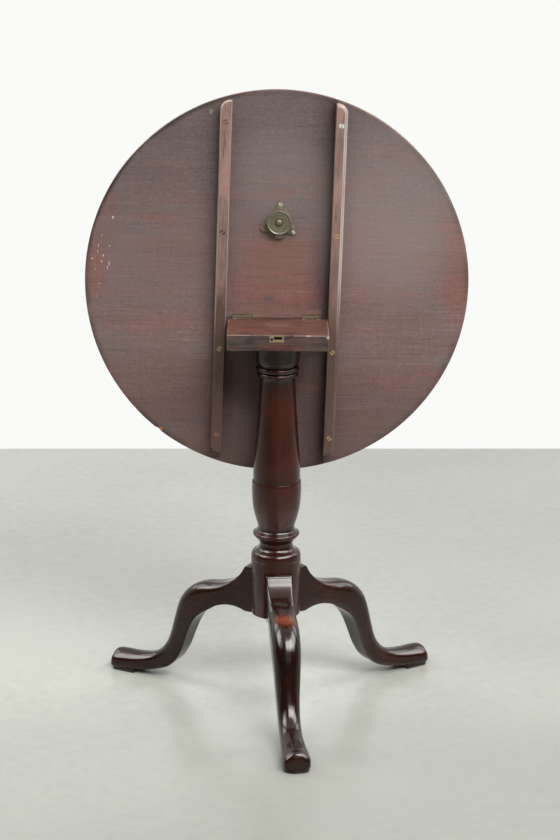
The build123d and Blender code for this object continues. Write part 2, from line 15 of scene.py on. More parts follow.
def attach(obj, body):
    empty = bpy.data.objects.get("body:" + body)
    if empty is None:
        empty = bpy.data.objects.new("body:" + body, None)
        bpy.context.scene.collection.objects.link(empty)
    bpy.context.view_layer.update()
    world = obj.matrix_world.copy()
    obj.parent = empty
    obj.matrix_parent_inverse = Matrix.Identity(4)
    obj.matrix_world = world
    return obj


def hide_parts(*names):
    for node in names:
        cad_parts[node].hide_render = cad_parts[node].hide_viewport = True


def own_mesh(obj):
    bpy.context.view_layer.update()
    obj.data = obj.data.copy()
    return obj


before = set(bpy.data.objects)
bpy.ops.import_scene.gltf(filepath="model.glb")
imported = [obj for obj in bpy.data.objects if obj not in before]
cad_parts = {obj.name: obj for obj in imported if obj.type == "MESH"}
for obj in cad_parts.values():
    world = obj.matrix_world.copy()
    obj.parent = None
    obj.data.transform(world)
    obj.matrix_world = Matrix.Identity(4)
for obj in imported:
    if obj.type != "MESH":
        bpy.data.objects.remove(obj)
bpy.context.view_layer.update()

LOG = logging.getLogger("tilt_top_table")
MM = 0.001
LEG_ANGLES = {"leg_front": -83.3, "leg_right": 33.4, "leg_left": 153.6}
Colour = Tuple[float, float, float, float]
Pair = Tuple[float, float]
Triple = Tuple[float, float, float]
Mark = Tuple[float, float, float, float, float]
Material = bpy.types.Material
Piece = bpy.types.Object


def paint(red: float, green: float, blue: float) -> Colour:
    """A colour given as display values from 0 to 255.

    Args:
        red, green, blue: the display values.

    Returns:
        The same colour in linear light, opaque.
    """
    share = np.array([red, green, blue]) / 255.0
    linear = np.where(share <= 0.04045, share / 12.92, ((share + 0.055) / 1.055) ** 2.4)
    return (float(linear[0]), float(linear[1]), float(linear[2]), 1.0)


def math_node(operation: str, swap: bool = False) -> Callable[..., "Value"]:
    """A method for Value that adds a Math node of two inputs.

    Args:
        operation: what the node works out.
        swap: whether the other value comes first.

    Returns:
        The method.
    """
    def method(self: "Value", other: Any = 0.0) -> "Value":
        """The operation on this value and another."""
        inputs = {0: other, 1: self} if swap else {0: self, 1: other}
        return self.graph.add("ShaderNodeMath", {"operation": operation}, inputs)

    return method


class Value:
    """A shader socket that takes part in Python expressions; each operator adds a Math node."""

    __add__, __radd__ = math_node("ADD"), math_node("ADD", True)
    __sub__, __rsub__ = math_node("SUBTRACT"), math_node("SUBTRACT", True)
    __mul__, __rmul__ = math_node("MULTIPLY"), math_node("MULTIPLY", True)
    __truediv__, __pow__ = math_node("DIVIDE"), math_node("POWER")
    __abs__ = math_node("ABSOLUTE")
    smallest, largest = math_node("MINIMUM"), math_node("MAXIMUM")

    def __init__(self, graph: "Graph", socket: bpy.types.NodeSocket) -> None:
        """Keep the graph and the socket."""
        self.graph = graph
        self.socket = socket

    def ramp(self, low: float, high: float) -> "Value":
        """A smooth step from 0 at low to 1 at high, or falling where low is above high.

        Args:
            low: the value that gives 0.
            high: the value that gives 1.

        Returns:
            The step, held between 0 and 1.
        """
        rises = low < high
        ends = {"From Min": min(low, high), "From Max": max(low, high),
                "To Min": float(not rises), "To Max": float(rises)}
        settings = {"interpolation_type": "SMOOTHSTEP", "clamp": True}
        return self.graph.add("ShaderNodeMapRange", settings, {"Value": self, **ends})


class Graph:
    """The node tree of one material, or of the world."""

    def __init__(self, owner: Union[Material, bpy.types.World]) -> None:
        """Start an empty tree with its output.

        Args:
            owner: the material or world that the tree belongs to.
        """
        self.tree = owner.node_tree
        self.tree.nodes.clear()
        kind = "World" if isinstance(owner, bpy.types.World) else "Material"
        self.output = self.tree.nodes.new("ShaderNodeOutput" + kind)

    def add(self, kind: str, settings: Optional[Dict[str, Any]] = None,
            inputs: Optional[Dict[Any, Any]] = None, output: Union[int, str] = 0) -> Value:
        """Make a node.

        Args:
            kind: the node's type.
            settings: properties set before anything is linked.
            inputs: values or links for its sockets, by name or place.
            output: which of its outputs to give back.

        Returns:
            That output.
        """
        node = self.tree.nodes.new(kind)
        for name, value in (settings or {}).items():
            setattr(node, name, value)
        for key, value in (inputs or {}).items():
            if isinstance(value, Value):
                self.tree.links.new(value.socket, node.inputs[key])
            else:
                node.inputs[key].default_value = value
        return Value(self, node.outputs[output])

    def place(self) -> Value:
        """Where a point is in the object's frame, in metres."""
        return self.add("ShaderNodeTexCoord", output="Object")

    def mark(self, name: str, output: str = "Fac") -> Value:
        """A value that the piece's mesh carries at its points."""
        return self.add("ShaderNodeAttribute", {"attribute_name": name}, output=output)

    def parts(self, vector: Value) -> Tuple[Value, Value, Value]:
        """The three numbers of a vector."""
        outputs = self.add("ShaderNodeSeparateXYZ", None, {0: vector}).socket.node.outputs
        return Value(self, outputs[0]), Value(self, outputs[1]), Value(self, outputs[2])

    def noise(self, vector: Value, scale: Union[float, Triple], detail: float = 3.0, rough: float = 0.55,
              twist: float = 0.0) -> Value:
        """Cloudy noise from 0 to 1, about 0.5 in the middle.

        Args:
            vector: the place.
            scale: how fine it is, the same all ways or along each axis.
            detail, rough: how many finer layers it has and how strong they are.
            twist: how far it is bent out of place.

        Returns:
            The noise.
        """
        if isinstance(scale, tuple):
            vector = self.add("ShaderNodeMapping", None, {"Vector": vector, "Scale": scale})
            scale = 1.0
        return self.add("ShaderNodeTexNoise", None, {
            "Vector": vector, "Scale": scale, "Detail": detail, "Roughness": rough, "Distortion": twist})

    def coats(self, tone: Any, *layers: Tuple[Any, Any]) -> Value:
        """Colours laid one over another.

        Args:
            tone: the lowest colour.
            layers: for each coat, the share of it that shows, and its colour.

        Returns:
            The mixed colour.
        """
        for share, colour in layers:
            tone = self.add("ShaderNodeMix", {"data_type": "RGBA", "clamp_factor": True},
                            {0: share, 6: tone, 7: colour}, output=2)
        return tone

    def stops(self, share: Value, stops: Sequence[Tuple[float, Colour]]) -> Value:
        """A run of colours.

        Args:
            share: the place along the run.
            stops: places and colours, in order.

        Returns:
            The colour at that place.
        """
        run = self.add("ShaderNodeValToRGB", None, {0: share})
        elements = run.socket.node.color_ramp.elements
        while len(elements) < len(stops):
            elements.new(0.5)
        for element, (place, colour) in zip(elements, stops):
            element.position = place
            element.color = colour
        return run

    def spot(self, x: Value, z: Value, oval: Sequence[float]) -> Value:
        """How near a place is to a spot.

        Args:
            x, z: the place.
            oval: the spot's middle and its half sizes, in millimetres.

        Returns:
            1 at the middle, 0 from the rim on.
        """
        middle_x, middle_z, half_x, half_z = (size * MM for size in oval)
        far = ((x - middle_x) / half_x) ** 2 + ((z - middle_z) / half_z) ** 2
        return far.ramp(1.0, 0.0)

    def spots(self, x: Value, z: Value, marks: Sequence[Mark], colour: Colour,
              hard: bool = False) -> List[Tuple[Value, Colour]]:
        """Coats of one colour on small places.

        Args:
            x, z: the place.
            marks: each spot's middle and half sizes, in millimetres, and how strongly it shows.
            colour: their colour.
            hard: whether the spots are nearly even up to their rims.

        Returns:
            A coat for each mark.
        """
        coats = []
        for *oval, strength in marks:
            near = self.spot(x, z, oval)
            coats.append(((near.ramp(0.0, 0.5) if hard else near) * strength, colour))
        return coats

    def bump(self, height: Value, depth: float, strength: float = 1.0) -> Value:
        """A normal raised by a height; depth is in metres."""
        return self.add("ShaderNodeBump", None, {"Height": height, "Distance": depth, "Strength": strength})

    def surface(self, tone: Value, rough: Any, others: Dict[str, Any]) -> None:
        """Make the shader from its colour, roughness and other inputs, and link it to the output."""
        inputs = {"Base Color": tone, "Roughness": rough, **others}
        shader = self.add("ShaderNodeBsdfPrincipled", None, inputs)
        self.tree.links.new(shader.socket, self.output.inputs["Surface"])


@dataclass(frozen=True)
class Finish:
    """A named finish that makes its own material."""

    name: str

    def material(self) -> Material:
        """Build the material.

        Returns:
            The material, with its nodes.
        """
        made = bpy.data.materials.new(self.name)
        made.use_nodes = True
        self.dress(Graph(made))
        return made

    def dress(self, graph: Graph) -> None:
        """Fill the node tree; each finish has its own way.

        Args:
            graph: the material's empty tree.
        """
        raise NotImplementedError


@dataclass(frozen=True)
class DryUnderside(Finish):
    """Unpolished mahogany with its grain along X: greyed, with red patches and old scratches. Painted shade
    darkens it towards its top and bottom, beside the bearers and below the block, and painted light brightens
    its right side.

    Each bearer shadow edge is its place, then how far painted shadow reaches to the left of it and how dark
    it is.
    Each mark is its middle across and up, its half sizes, in millimetres, and how strongly it shows.
    """

    grey: Colour = paint(127, 113, 111)
    brown: Colour = paint(131, 105, 99)
    red: Colour = paint(142, 97, 87)
    # dirt is also the colour of the painted shade: at the top and bottom, beside the bearers and below the
    # block
    dirt: Colour = paint(64, 48, 46)
    # the colour of a darker band along the rim, most of it at the upper left
    rim_dark: Colour = paint(56, 47, 46)
    light: Colour = paint(178, 163, 158)
    pale: Colour = paint(226, 208, 196)
    orange: Colour = paint(180, 112, 86)
    spilt: Colour = paint(108, 98, 98)
    centre: Pair = (-0.003, 0.752)
    # painted shadow to the left of each bearer
    bearer_shadow_edges: Tuple[Triple, ...] = ((-0.110, 0.05, 0.16), (0.0895, 0.05, 0.56), (0.0895, 0.015, 0.66))
    scratches: Tuple[Mark, ...] = (
        (-289.5, 865.6, 1.8, 3.0, 0.8), (-308.8, 833.8, 1.1, 2.6, 0.5), (-315.1, 815.8, 0.9, 4.6, 0.6),
        (-295.4, 815.1, 1.3, 2.0, 0.6), (-316.1, 805.5, 1.0, 4.0, 0.6), (-307.0, 798.8, 1.3, 3.2, 0.7),
        (-326.0, 793.2, 1.8, 1.6, 0.8), (-309.8, 788.2, 1.4, 2.6, 0.8), (-296.5, 785.0, 1.2, 4.8, 0.8),
        (-299.6, 776.9, 1.0, 4.6, 0.6), (-320.3, 774.4, 1.6, 1.4, 0.4), (-314.4, 749.7, 2.6, 1.2, 0.3),
        (-319.6, 726.7, 1.2, 2.2, 0.3), (-119.0, 1050.0, 4.0, 5.0, 0.2))
    orange_lines: Tuple[Mark, ...] = (
        (-208, 489, 6, 5, 1.0), (0.3, 770, 23, 1.4, 0.4), (-21.5, 764, 1.3, 6.4, 0.4),
        (20.5, 764, 1.8, 6.4, 0.5), (-24.4, 817, 1.2, 7, 0.3), (9, 746, 18, 1.2, 0.25), (18, 730, 4, 5, 0.35))
    red_places: Tuple[Mark, ...] = (
        (-5, 745, 110, 95, 1.2), (0, 825, 95, 45, 0.6), (2, 908, 34, 18, 0.7), (-322, 775, 28, 62, 0.9),
        (-302, 889, 40, 34, 0.6), (-214, 869, 60, 9, 0.7), (-190, 820, 80, 22, 0.4),
        (-207, 677, 140, 22, 0.6), (235, 640, 110, 26, 0.5), (220, 585, 130, 36, 0.5),
        (-200, 560, 110, 80, 0.4), (170, 735, 80, 30, 0.3))
    # painted shadow of the block, on the board below it
    block_shadow_places: Tuple[Mark, ...] = ((-35, 590, 100, 85, 0.68),)
    # painted light: lighter on the panel between the bearers near the top, and on the right side
    painted_light_places: Tuple[Mark, ...] = ((-5, 950, 100, 100, 0.16), (190, 880, 160, 200, 0.26))
    spills: Tuple[Mark, ...] = ((-16.8, 725.4, 13, 7, 0.8),)

    def dress(self, graph: Graph) -> None:
        """Grain as noise drawn out along X, saw marks across it, then patches and marks."""
        at = graph.place()
        x, _, z = graph.parts(at)
        fibres = graph.noise(at, (14, 60, 400), 4.0, 0.62)
        saw = graph.noise(at, (320, 60, 14), 3.0, 0.6)
        figure = graph.noise(at, (4, 6, 75), 4.0, 0.62, 0.3)
        bands = graph.noise(at, (2.2, 6, 15), 4.0, 0.6, 0.4)
        clouds = graph.noise(at, (5, 7, 9), 5.0, 0.62)
        mottle = graph.noise(at, (210, 60, 330), 4.0, 0.7)
        # high and low are painted shade that darkens the top and the bottom; high also greys the top
        high, low = z.ramp(0.8, 1.0), z.ramp(0.66, 0.5)
        streak = (fibres - 0.5) + (0.5 - figure) * 0.5 + (saw - 0.5) * 0.3 + (clouds - 0.5) * 0.35
        tone = graph.coats(
            self.brown,
            ((bands * 0.5 + clouds * 0.5).ramp(0.36, 0.64) + high, self.grey),
            (self.redness(graph, x, z, bands, clouds), self.red),
            ((figure + bands - 1.0).ramp(0.02, 0.3) * 0.4, self.red),
            (streak.ramp(0.0, 0.4) * 0.4, self.dirt),
            ((streak * -1.0).ramp(0.0, 0.4) * 0.28, self.light),
            # painted shade towards the top and the bottom
            (high * 0.34 + low * 0.3, self.dirt),
            ((mottle - 0.5).ramp(0.0, 0.3) * 0.36, self.dirt),
            ((0.5 - mottle).ramp(0.0, 0.3) * 0.26, self.light),
            # painted shadow beside the bearers, and the darker rim
            *self.grime(x, z, clouds),
            # painted shadow of the block, on the board below it
            (low * abs(x).ramp(0.15, 0.07) * 0.25, self.dirt),
            *graph.spots(x, z, self.block_shadow_places, self.dirt),
            # painted light on the panel and the right side
            *graph.spots(x, z, self.painted_light_places, self.light),
            *graph.spots(x, z, self.spills, self.spilt),
            *graph.spots(x, z, self.orange_lines, self.orange, True),
            *graph.spots(x, z, self.scratches, self.pale, True))
        graph.surface(tone, 0.5 + (clouds - 0.5) * 0.3, {
            "Specular IOR Level": 0.16, "Normal": graph.bump(fibres + saw * 0.5, 0.0003, 0.35)})

    def grime(self, x: Value, z: Value, clouds: Value) -> List[Tuple[Value, Colour]]:
        """Painted shadow beside the bearers, and a darker band along the rim, most of it at the upper left.

        Args:
            x, z: the place, across and up.
            clouds: noise that breaks the rim's grime.

        Returns:
            The coats.
        """
        coats = []
        # painted shadow cast by each bearer onto the board, to its left
        for edge, reach, share in self.bearer_shadow_edges:
            beside = x - (z - self.centre[1]) * math.tan(TILTED.skew) - edge
            coats.append((beside.ramp(-reach, 0.0) * beside.ramp(0.004, 0.0) * share, self.dirt))
        rim = ((x - self.centre[0]) ** 2 + (z - self.centre[1]) ** 2) ** 0.5
        upper_left = (z - self.centre[1] - x + self.centre[0]).ramp(0.33, 0.42) * 0.9
        rim_share = (clouds.ramp(0.35, 0.6) * 0.5 * rim.ramp(0.322, 0.335)).largest(
            upper_left * (rim + (clouds - 0.5) * 0.02).ramp(0.325, 0.334))
        return coats + [(rim_share, self.rim_dark)]

    def redness(self, graph: Graph, x: Value, z: Value, bands: Value, clouds: Value) -> Value:
        """How red each place is: named places, and a strip down the right edge.

        Args:
            graph: the material's nodes.
            x, z: the place, across and up.
            bands, clouds: noise that breaks the patches.

        Returns:
            The share of red.
        """
        strip = (x - 0.28 + (z - 0.8).largest(0.0) * 0.35 + (clouds - 0.5) * 0.03).ramp(0.0, 0.03)
        total = strip * z.ramp(0.665, 0.73) * z.ramp(0.905, 0.85) * 0.8
        for share, _ in graph.spots(x, z, self.red_places, self.red):
            total = total + share
        broken = 0.45 + (bands * 0.6 + clouds * 0.4).ramp(0.36, 0.6) * 0.55
        return total.smallest(1.0) * broken * 0.8 + (bands - clouds).ramp(0.03, 0.25) * 0.15


@dataclass(frozen=True)
class WaxedMahogany(Finish):
    """Dark waxed mahogany with its grain along the piece: near black in hollows, red where worn."""

    dark: Colour = paint(44, 17, 10)
    red: Colour = paint(76, 29, 17)
    bare: Colour = paint(128, 60, 39)
    coat: float = 0.32
    shine: float = 0.2
    pore: Colour = paint(24, 14, 11)
    streak: Colour = paint(112, 50, 34)
    # grime is also the colour of the painted shade on the column's top, under the block
    grime: Colour = paint(20, 12, 10)
    tint: Colour = (1.0, 0.97, 0.94, 1.0)

    def dress(self, graph: Graph) -> None:
        """Grain as noise drawn out along the mesh's own length; wear as marks, and below zero a darker tone:
        grime in hollows, and painted shade on the column's top under the block.
        """
        along = graph.mark("grain", "Vector")
        wear = graph.mark("wear")
        fibres = graph.noise(along, (14, 420, 420), 4.0, 0.6)
        figure = graph.noise(along, (3.5, 26, 26), 4.0, 0.6, 0.6)
        clouds = graph.noise(along, 9.0)
        specks = graph.noise(along, 330.0, 3.0, 0.65)
        rubbed = (wear * (clouds * 0.35 + fibres * 0.3 + specks * 0.9)).ramp(0.3, 0.76)
        tone = graph.coats(
            self.dark,
            ((figure * 0.6 + clouds * 0.6 - 0.6).ramp(-0.3, 0.3), self.red),
            ((fibres - 0.52).ramp(0.0, 0.25) * 0.75, self.pore),
            ((0.46 - fibres).ramp(0.0, 0.25) * 0.4, self.streak),
            (rubbed, self.bare),
            # grime in hollows, and painted shade under the block
            (wear.ramp(0.0, -1.0), self.grime))
        relief = fibres * 0.35 + graph.noise(along, 60.0) * 0.65
        graph.surface(tone, 0.22 + (clouds - 0.5) * 0.18 + rubbed * 0.1, {
            "Coat Weight": self.coat, "Coat Roughness": 0.08, "Specular IOR Level": self.shine,
            "Specular Tint": self.tint, "Normal": graph.bump(relief, 0.0006, 0.18)})


@dataclass(frozen=True)
class RubbedBearer(Finish):
    """Bearer wood, its grain along the piece: tan faces with red and grey stains, arrises pale from rubbing
    and a painted highlight.
    """

    face: Colour = paint(163, 134, 123)
    dark: Colour = paint(92, 69, 60)
    red: Colour = paint(166, 112, 92)
    grey: Colour = paint(104, 88, 86)
    # pale is rubbed wear and a painted highlight on the arrises
    pale: Colour = paint(210, 197, 190)

    def dress(self, graph: Graph) -> None:
        """Grain along the mesh's own length; arrises from the mesh's marks."""
        along = graph.mark("grain", "Vector")
        wear = graph.mark("wear")
        fibres = graph.noise(along, (10, 300, 300), 4.0, 0.6)
        clouds = graph.noise(along, (9, 30, 30), 4.0, 0.6)
        stain = graph.noise(along, (26, 190, 150), 4.0, 0.66)
        height = graph.parts(graph.place())[2]
        shade = (clouds + fibres * 0.4).ramp(0.5, 0.95) * 0.7 + height.ramp(0.79, 0.66) * 0.85
        rubbed = wear.ramp(0.1, 0.8) * (0.3 + clouds.ramp(0.3, 0.6) * 0.7)
        tone = graph.coats(
            self.face,
            (stain.ramp(0.5, 0.3) * 0.75, self.red),
            (stain.ramp(0.52, 0.68) * 0.75, self.grey),
            (shade, self.dark),
            # pale arrises, rubbed wear and painted highlight, faded lower down by painted shade
            (rubbed * (0.05 + height.ramp(0.62, 0.74) * 0.8), self.pale))
        graph.surface(tone, 0.46 + (clouds - 0.5) * 0.3, {
            "Specular IOR Level": 0.4, "Normal": graph.bump(fibres, 0.0004, 0.5)})


@dataclass(frozen=True)
class WornBlock(Finish):
    """The block's wood: red-brown, greyed on its front, its arrises rubbed pale; painted shade darkens its
    top towards the back, with a painted shadow in the gap there.

    low and high are the block's corners, in metres; the ovals are middles and half sizes, in millimetres.
    """

    low: Triple = (-0.08675, -0.083, 0.6644)
    high: Triple = (0.08675, 0.059, 0.692)
    red: Colour = paint(106, 68, 56)
    grey: Colour = paint(84, 70, 67)
    warm: Colour = paint(136, 82, 62)
    # grime is also the colour of the painted shade at the back of the top
    grime: Colour = paint(48, 36, 32)
    pale: Colour = paint(206, 186, 170)
    warm_front: Tuple[float, ...] = (2, 667, 55, 17)
    # painted shadow in the gap between the block's back and the board
    gap_shadow: Tuple[float, ...] = (2, 50, 30, 6)
    top_chip: Tuple[float, ...] = (52, 691.5, 6, 2.2)
    corner_chip: Tuple[float, ...] = (85.5, 689, 4, 4)

    def dress(self, graph: Graph) -> None:
        """An arris is where two of the three distances to the faces are small together."""
        at = graph.place()
        x, y, z = graph.parts(at)
        gaps = []
        for axis, low, high in zip((x, y, z), self.low, self.high):
            gaps.append((high - low) / 2 - abs(axis - (low + high) / 2))
        first, second, third = gaps
        edge = first.smallest(second).largest(first.largest(second).smallest(third))
        fibres = graph.noise(at, (12, 260, 260), 4.0, 0.6)
        clouds = graph.noise(at, (22, 40, 60), 4.0, 0.62)
        blotches = graph.noise(at, (34, 70, 90), 4.0, 0.64, 0.5)
        front, upper = y.ramp(-0.078, -0.0825), z.ramp(0.686, 0.691)
        warmth = graph.spot(x, z, self.warm_front) * front
        greyness = front * 0.85 - warmth * 0.75 + x.ramp(-0.02, 0.05) * (1 - front) * 0.3
        rubbed = edge.ramp(0.0017, 0.0005) * (clouds + upper * 0.08).ramp(0.46, 0.62)
        chips = graph.spot(x, z, self.top_chip).largest(graph.spot(x, z, self.corner_chip))
        bare = (rubbed * (0.2 + upper * 0.4)).largest(chips * y.ramp(-0.078, -0.082))
        tone = graph.coats(
            self.red,
            (greyness + (clouds - 0.5) * 1.5, self.grey),
            (blotches.ramp(0.5, 0.64) * 0.7, self.grime),
            (blotches.ramp(0.46, 0.34) * 0.5, self.warm),
            ((fibres - 0.5).ramp(0.0, 0.2) * 0.8, self.grime),
            # painted shade towards the back of the top, and a painted shadow in the gap there
            (y.ramp(0.03, 0.056) * 0.8 + graph.spot(x, y, self.gap_shadow) * 0.9, self.grime),
            (bare, self.pale))
        graph.surface(tone, 0.42 + (clouds - 0.5) * 0.25, {
            "Specular IOR Level": 0.4, "Normal": graph.bump(fibres, 0.0004, 0.4)})


@dataclass(frozen=True)
class EndGrain(Finish):
    """Bare end grain of the tenon and its wedge, greyed with dust."""

    tone: Colour = paint(98, 62, 50)
    dust: Colour = paint(66, 55, 50)

    def dress(self, graph: Graph) -> None:
        """Fine upright pores as noise close across the grain."""
        pores = graph.noise(graph.place(), (500, 500, 20))
        tone = graph.coats(self.tone, (pores.ramp(0.4, 0.75), self.dust))
        graph.surface(tone, 0.75, {"Normal": graph.bump(pores, 0.0003)})


@dataclass(frozen=True)
class AgedMetal(Finish):
    """Old metal: bright where rubbed, brown and dull in the hollows, black where wear is below zero; on the
    knob these marks also carry a painted highlight and a painted shadow.
    """

    bright: Colour = paint(198, 180, 146)
    dull: Colour = paint(134, 120, 100)
    grime: Colour = paint(66, 57, 48)
    dirt: float = 0.5
    # black is also the painted shadow on the knob's underside and outer wall
    black: Colour = paint(30, 26, 22)

    def dress(self, graph: Graph) -> None:
        """Two scales of noise lay dullness and grime over the metal; marks carry rubbed edges, and on the
        knob a painted highlight and a painted shadow.
        """
        at = graph.place()
        wear = graph.mark("wear")
        clouds = graph.noise(at, 110.0, 4.0, 0.6)
        specks = graph.noise(at, 520.0, 3.0, 0.6)
        grime = (specks * 0.4 + clouds * 0.6 - 0.5 + (self.dirt - 0.5)).ramp(0.0, 0.28) * (1 - wear)
        tone = graph.coats(
            self.dull,
            (clouds.ramp(0.3, 0.7) * 0.5, self.bright),
            (grime, self.grime),
            (wear * 0.8, self.bright),
            (wear.ramp(0.0, -1.0), self.black))
        graph.surface(tone, 0.44 + grime * 0.25 - wear * 0.14, {
            "Metallic": 0.55 - grime * 0.4, "Normal": graph.bump(specks + clouds, 0.00008, 0.3)})


@dataclass(frozen=True)
class StainedLeaf(Finish):
    """A hinge leaf stained over with the underside's colour above its knuckles."""

    metal: Colour = paint(92, 75, 60)
    grime: Colour = paint(62, 49, 42)
    stain: Colour = paint(132, 100, 92)
    faded: Colour = paint(124, 94, 88)
    stain_from: float = 0.6962
    stain_fade: float = 0.0012

    def dress(self, graph: Graph) -> None:
        """Metal at the knuckles, stain above them, broken by specks."""
        at = graph.place()
        specks = graph.noise(at, 420.0, 4.0, 0.6)
        above = graph.parts(at)[2].ramp(self.stain_from, self.stain_from + self.stain_fade)
        stain = graph.coats(self.stain, (specks, self.faded))
        tone = graph.coats(self.metal, (specks.ramp(0.42, 0.68), self.grime), (above, stain))
        graph.surface(tone, 0.6, {"Metallic": 0.3 - above * 0.3, "Normal": graph.bump(specks, 0.0002, 0.4)})


@dataclass(frozen=True)
class ScrewMetal(Finish):
    """Screw heads of several ages; each screw carries its own tone from dark steel to new zinc."""

    ages: Tuple[Tuple[float, Colour], ...] = (
        (0.0, paint(70, 62, 58)), (0.25, paint(122, 80, 62)), (0.5, paint(150, 118, 92)),
        (0.75, paint(178, 154, 112)), (1.0, paint(226, 224, 218)))
    rust: Colour = paint(70, 54, 45)
    slot: Colour = paint(30, 24, 21)

    def dress(self, graph: Graph) -> None:
        """A run of colours over the mesh's tone, dulled by specks."""
        specks = graph.noise(graph.place(), 600.0)
        tone = graph.coats(
            graph.stops(graph.mark("tone"), self.ages),
            ((specks - 0.5).ramp(0.0, 0.25) * 0.5, self.rust),
            (graph.mark("wear"), self.slot))
        graph.surface(tone, 0.4 + specks * 0.2, {
            "Metallic": 0.6, "Normal": graph.bump(specks, 0.0002, 0.4)})


@dataclass(frozen=True)
class Concrete(Finish):
    """Pale polished concrete for the floor."""

    tone: Colour = paint(208, 209, 199)
    # painted shade towards the viewer and the right
    near_shade_tone: Colour = paint(176, 177, 168)
    shade: Colour = paint(140, 140, 132)
    # painted reflection of the wall, paler below the table
    painted_reflection: Colour = paint(238, 239, 230)
    painted_reflection_spots: Tuple[Mark, ...] = ((0, 20, 220, 220, 0.6),)

    def dress(self, graph: Graph) -> None:
        """Broad clouds over a tone: painted shade towards the viewer and the right, greyer far right, and a
        painted reflection paler below the table.
        """
        at = graph.place()
        clouds = graph.noise(at, 1.6, 4.0)
        fine = graph.noise(at, 45.0, 4.0)
        x, y, _ = graph.parts(at)
        far_right = (x + y * 0.25).ramp(0.1, 0.6) * y.ramp(0.0, 0.35)
        tone = graph.coats(
            self.tone,
            # painted shade towards the viewer and the right
            ((x * 0.5 - y).ramp(-0.3, 0.7), self.near_shade_tone),
            (far_right * 0.3, self.shade),
            # painted reflection below the table
            *graph.spots(x, y, self.painted_reflection_spots, self.painted_reflection),
            ((clouds * 0.6 + fine * 0.4).ramp(0.6, 0.36) * 0.16, self.shade))
        graph.surface(tone, 0.2 + clouds * 0.1, {"Specular IOR Level": 0.5})


class Slot(Enum):
    """Material slots of the record."""

    TOP = "top_mahogany"
    BEARER = "bearer_mahogany"
    POLISHED = "polished_mahogany"
    SCREW = "screw_brass"
    CATCH = "catch_brass"
    SPRING = "spring_steel"


@dataclass
class Skin:
    """A closed surface on a grid of points, in metres, with the marks it carries."""

    points: np.ndarray
    faces: List[List[int]]
    wear: np.ndarray
    grain: np.ndarray
    tone: np.ndarray
    finish: np.ndarray


def lattice(grid: np.ndarray, wear: Any = 0.0, grain: Optional[np.ndarray] = None, tone: float = 0.0,
            finish: Optional[np.ndarray] = None) -> Skin:
    """Close a grid of rings into a skin: quads between rings, and a face over each end ring.

    Args:
        grid: rows of rings, (rows, columns, 3), in metres.
        wear: marks for each point, for each row, (rows, 1), or one for all.
        grain: coordinates for the grain, (rows, columns, 3); the grid itself if left out.
        tone: one value for all points.
        finish: which finish each band of quads takes, (rows - 1).

    Returns:
        The skin.
    """
    rows, columns = grid.shape[:2]
    index = np.arange(rows * columns).reshape(rows, columns)
    after = np.roll(index, -1, axis=1)
    quads = np.stack([index[:-1], after[:-1], after[1:], index[1:]], axis=-1).reshape(-1, 4)
    bands = np.zeros(rows - 1, int) if finish is None else finish
    sides = np.concatenate([np.repeat(bands, columns), bands[[0, -1]]])
    faces = quads.tolist() + [index[0, ::-1].tolist(), index[-1].tolist()]
    marks = np.broadcast_to(wear, index.shape).ravel()
    lines = grid if grain is None else grain
    return Skin(grid.reshape(-1, 3), faces, marks, lines.reshape(-1, 3), np.full(index.size, tone), sides)


def make_piece(name: str, skins: Sequence[Skin], finishes: Sequence[Material], body: str,
               replaces: Sequence[str], crease: float = 38.0) -> Piece:
    """Join skins into one object that rides on a body.

    Args:
        name: the piece's name.
        skins: the closed surfaces it is made of.
        finishes: its materials, in the order that the skins count them.
        body: the body that carries it.
        replaces: the solids it stands for.
        crease: edges sharper than this many degrees stay sharp.

    Returns:
        The object.
    """
    mesh = bpy.data.meshes.new(name)
    starts = np.cumsum([0] + [len(skin.points) for skin in skins])
    faces = [[i + int(start) for i in face] for skin, start in zip(skins, starts) for face in skin.faces]
    mesh.from_pydata(np.concatenate([skin.points for skin in skins]).tolist(), [], faces)
    for mark in ("wear", "tone"):
        values = np.concatenate([getattr(skin, mark) for skin in skins]).astype(np.float32)
        mesh.attributes.new(mark, "FLOAT", "POINT").data.foreach_set("value", values)
    grain = np.concatenate([skin.grain for skin in skins]).astype(np.float32)
    mesh.attributes.new("grain", "FLOAT_VECTOR", "POINT").data.foreach_set("vector", grain.ravel())
    mesh.polygons.foreach_set("material_index", np.concatenate([skin.finish for skin in skins]))
    mesh.polygons.foreach_set("use_smooth", np.ones(len(mesh.polygons), bool))
    for finish in finishes:
        mesh.materials.append(finish)
    shape = bmesh.new()
    shape.from_mesh(mesh)
    bmesh.ops.recalc_face_normals(shape, faces=shape.faces[:])
    shape.to_mesh(mesh)
    shape.free()
    mesh.set_sharp_from_angle(angle=math.radians(crease))
    piece = bpy.data.objects.new(name, mesh)
    bpy.context.scene.collection.objects.link(piece)
    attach(piece, body)
    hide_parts(*replaces)
    LOG.info("%s: %d points on %s", name, len(mesh.vertices), body)
    return piece


def circle(count: int) -> np.ndarray:
    """Even directions round a circle, in radians."""
    return np.linspace(0, 2 * math.pi, count, endpoint=False)


def eased(points: Sequence[Sequence[float]], per_span: int = 5) -> np.ndarray:
    """A smooth line through points: each span is a cubic whose end slopes follow the neighbours.

    Args:
        points: rows of numbers that the line passes through.
        per_span: steps in each span.

    Returns:
        Points along the line, both ends included.
    """
    knots = np.asarray(points, float)
    slopes = np.gradient(knots, axis=0)
    t = np.linspace(0, 1, per_span, endpoint=False)[:, None, None]
    start, end = knots[None, :-1], knots[None, 1:]
    line = ((2 * t**3 - 3 * t**2 + 1) * start + (t**3 - 2 * t**2 + t) * slopes[None, :-1]
            + (3 * t**2 - 2 * t**3) * end + (t**3 - t**2) * slopes[None, 1:])
    return np.concatenate([line.transpose(1, 0, 2).reshape(-1, knots.shape[1]), knots[-1:]])


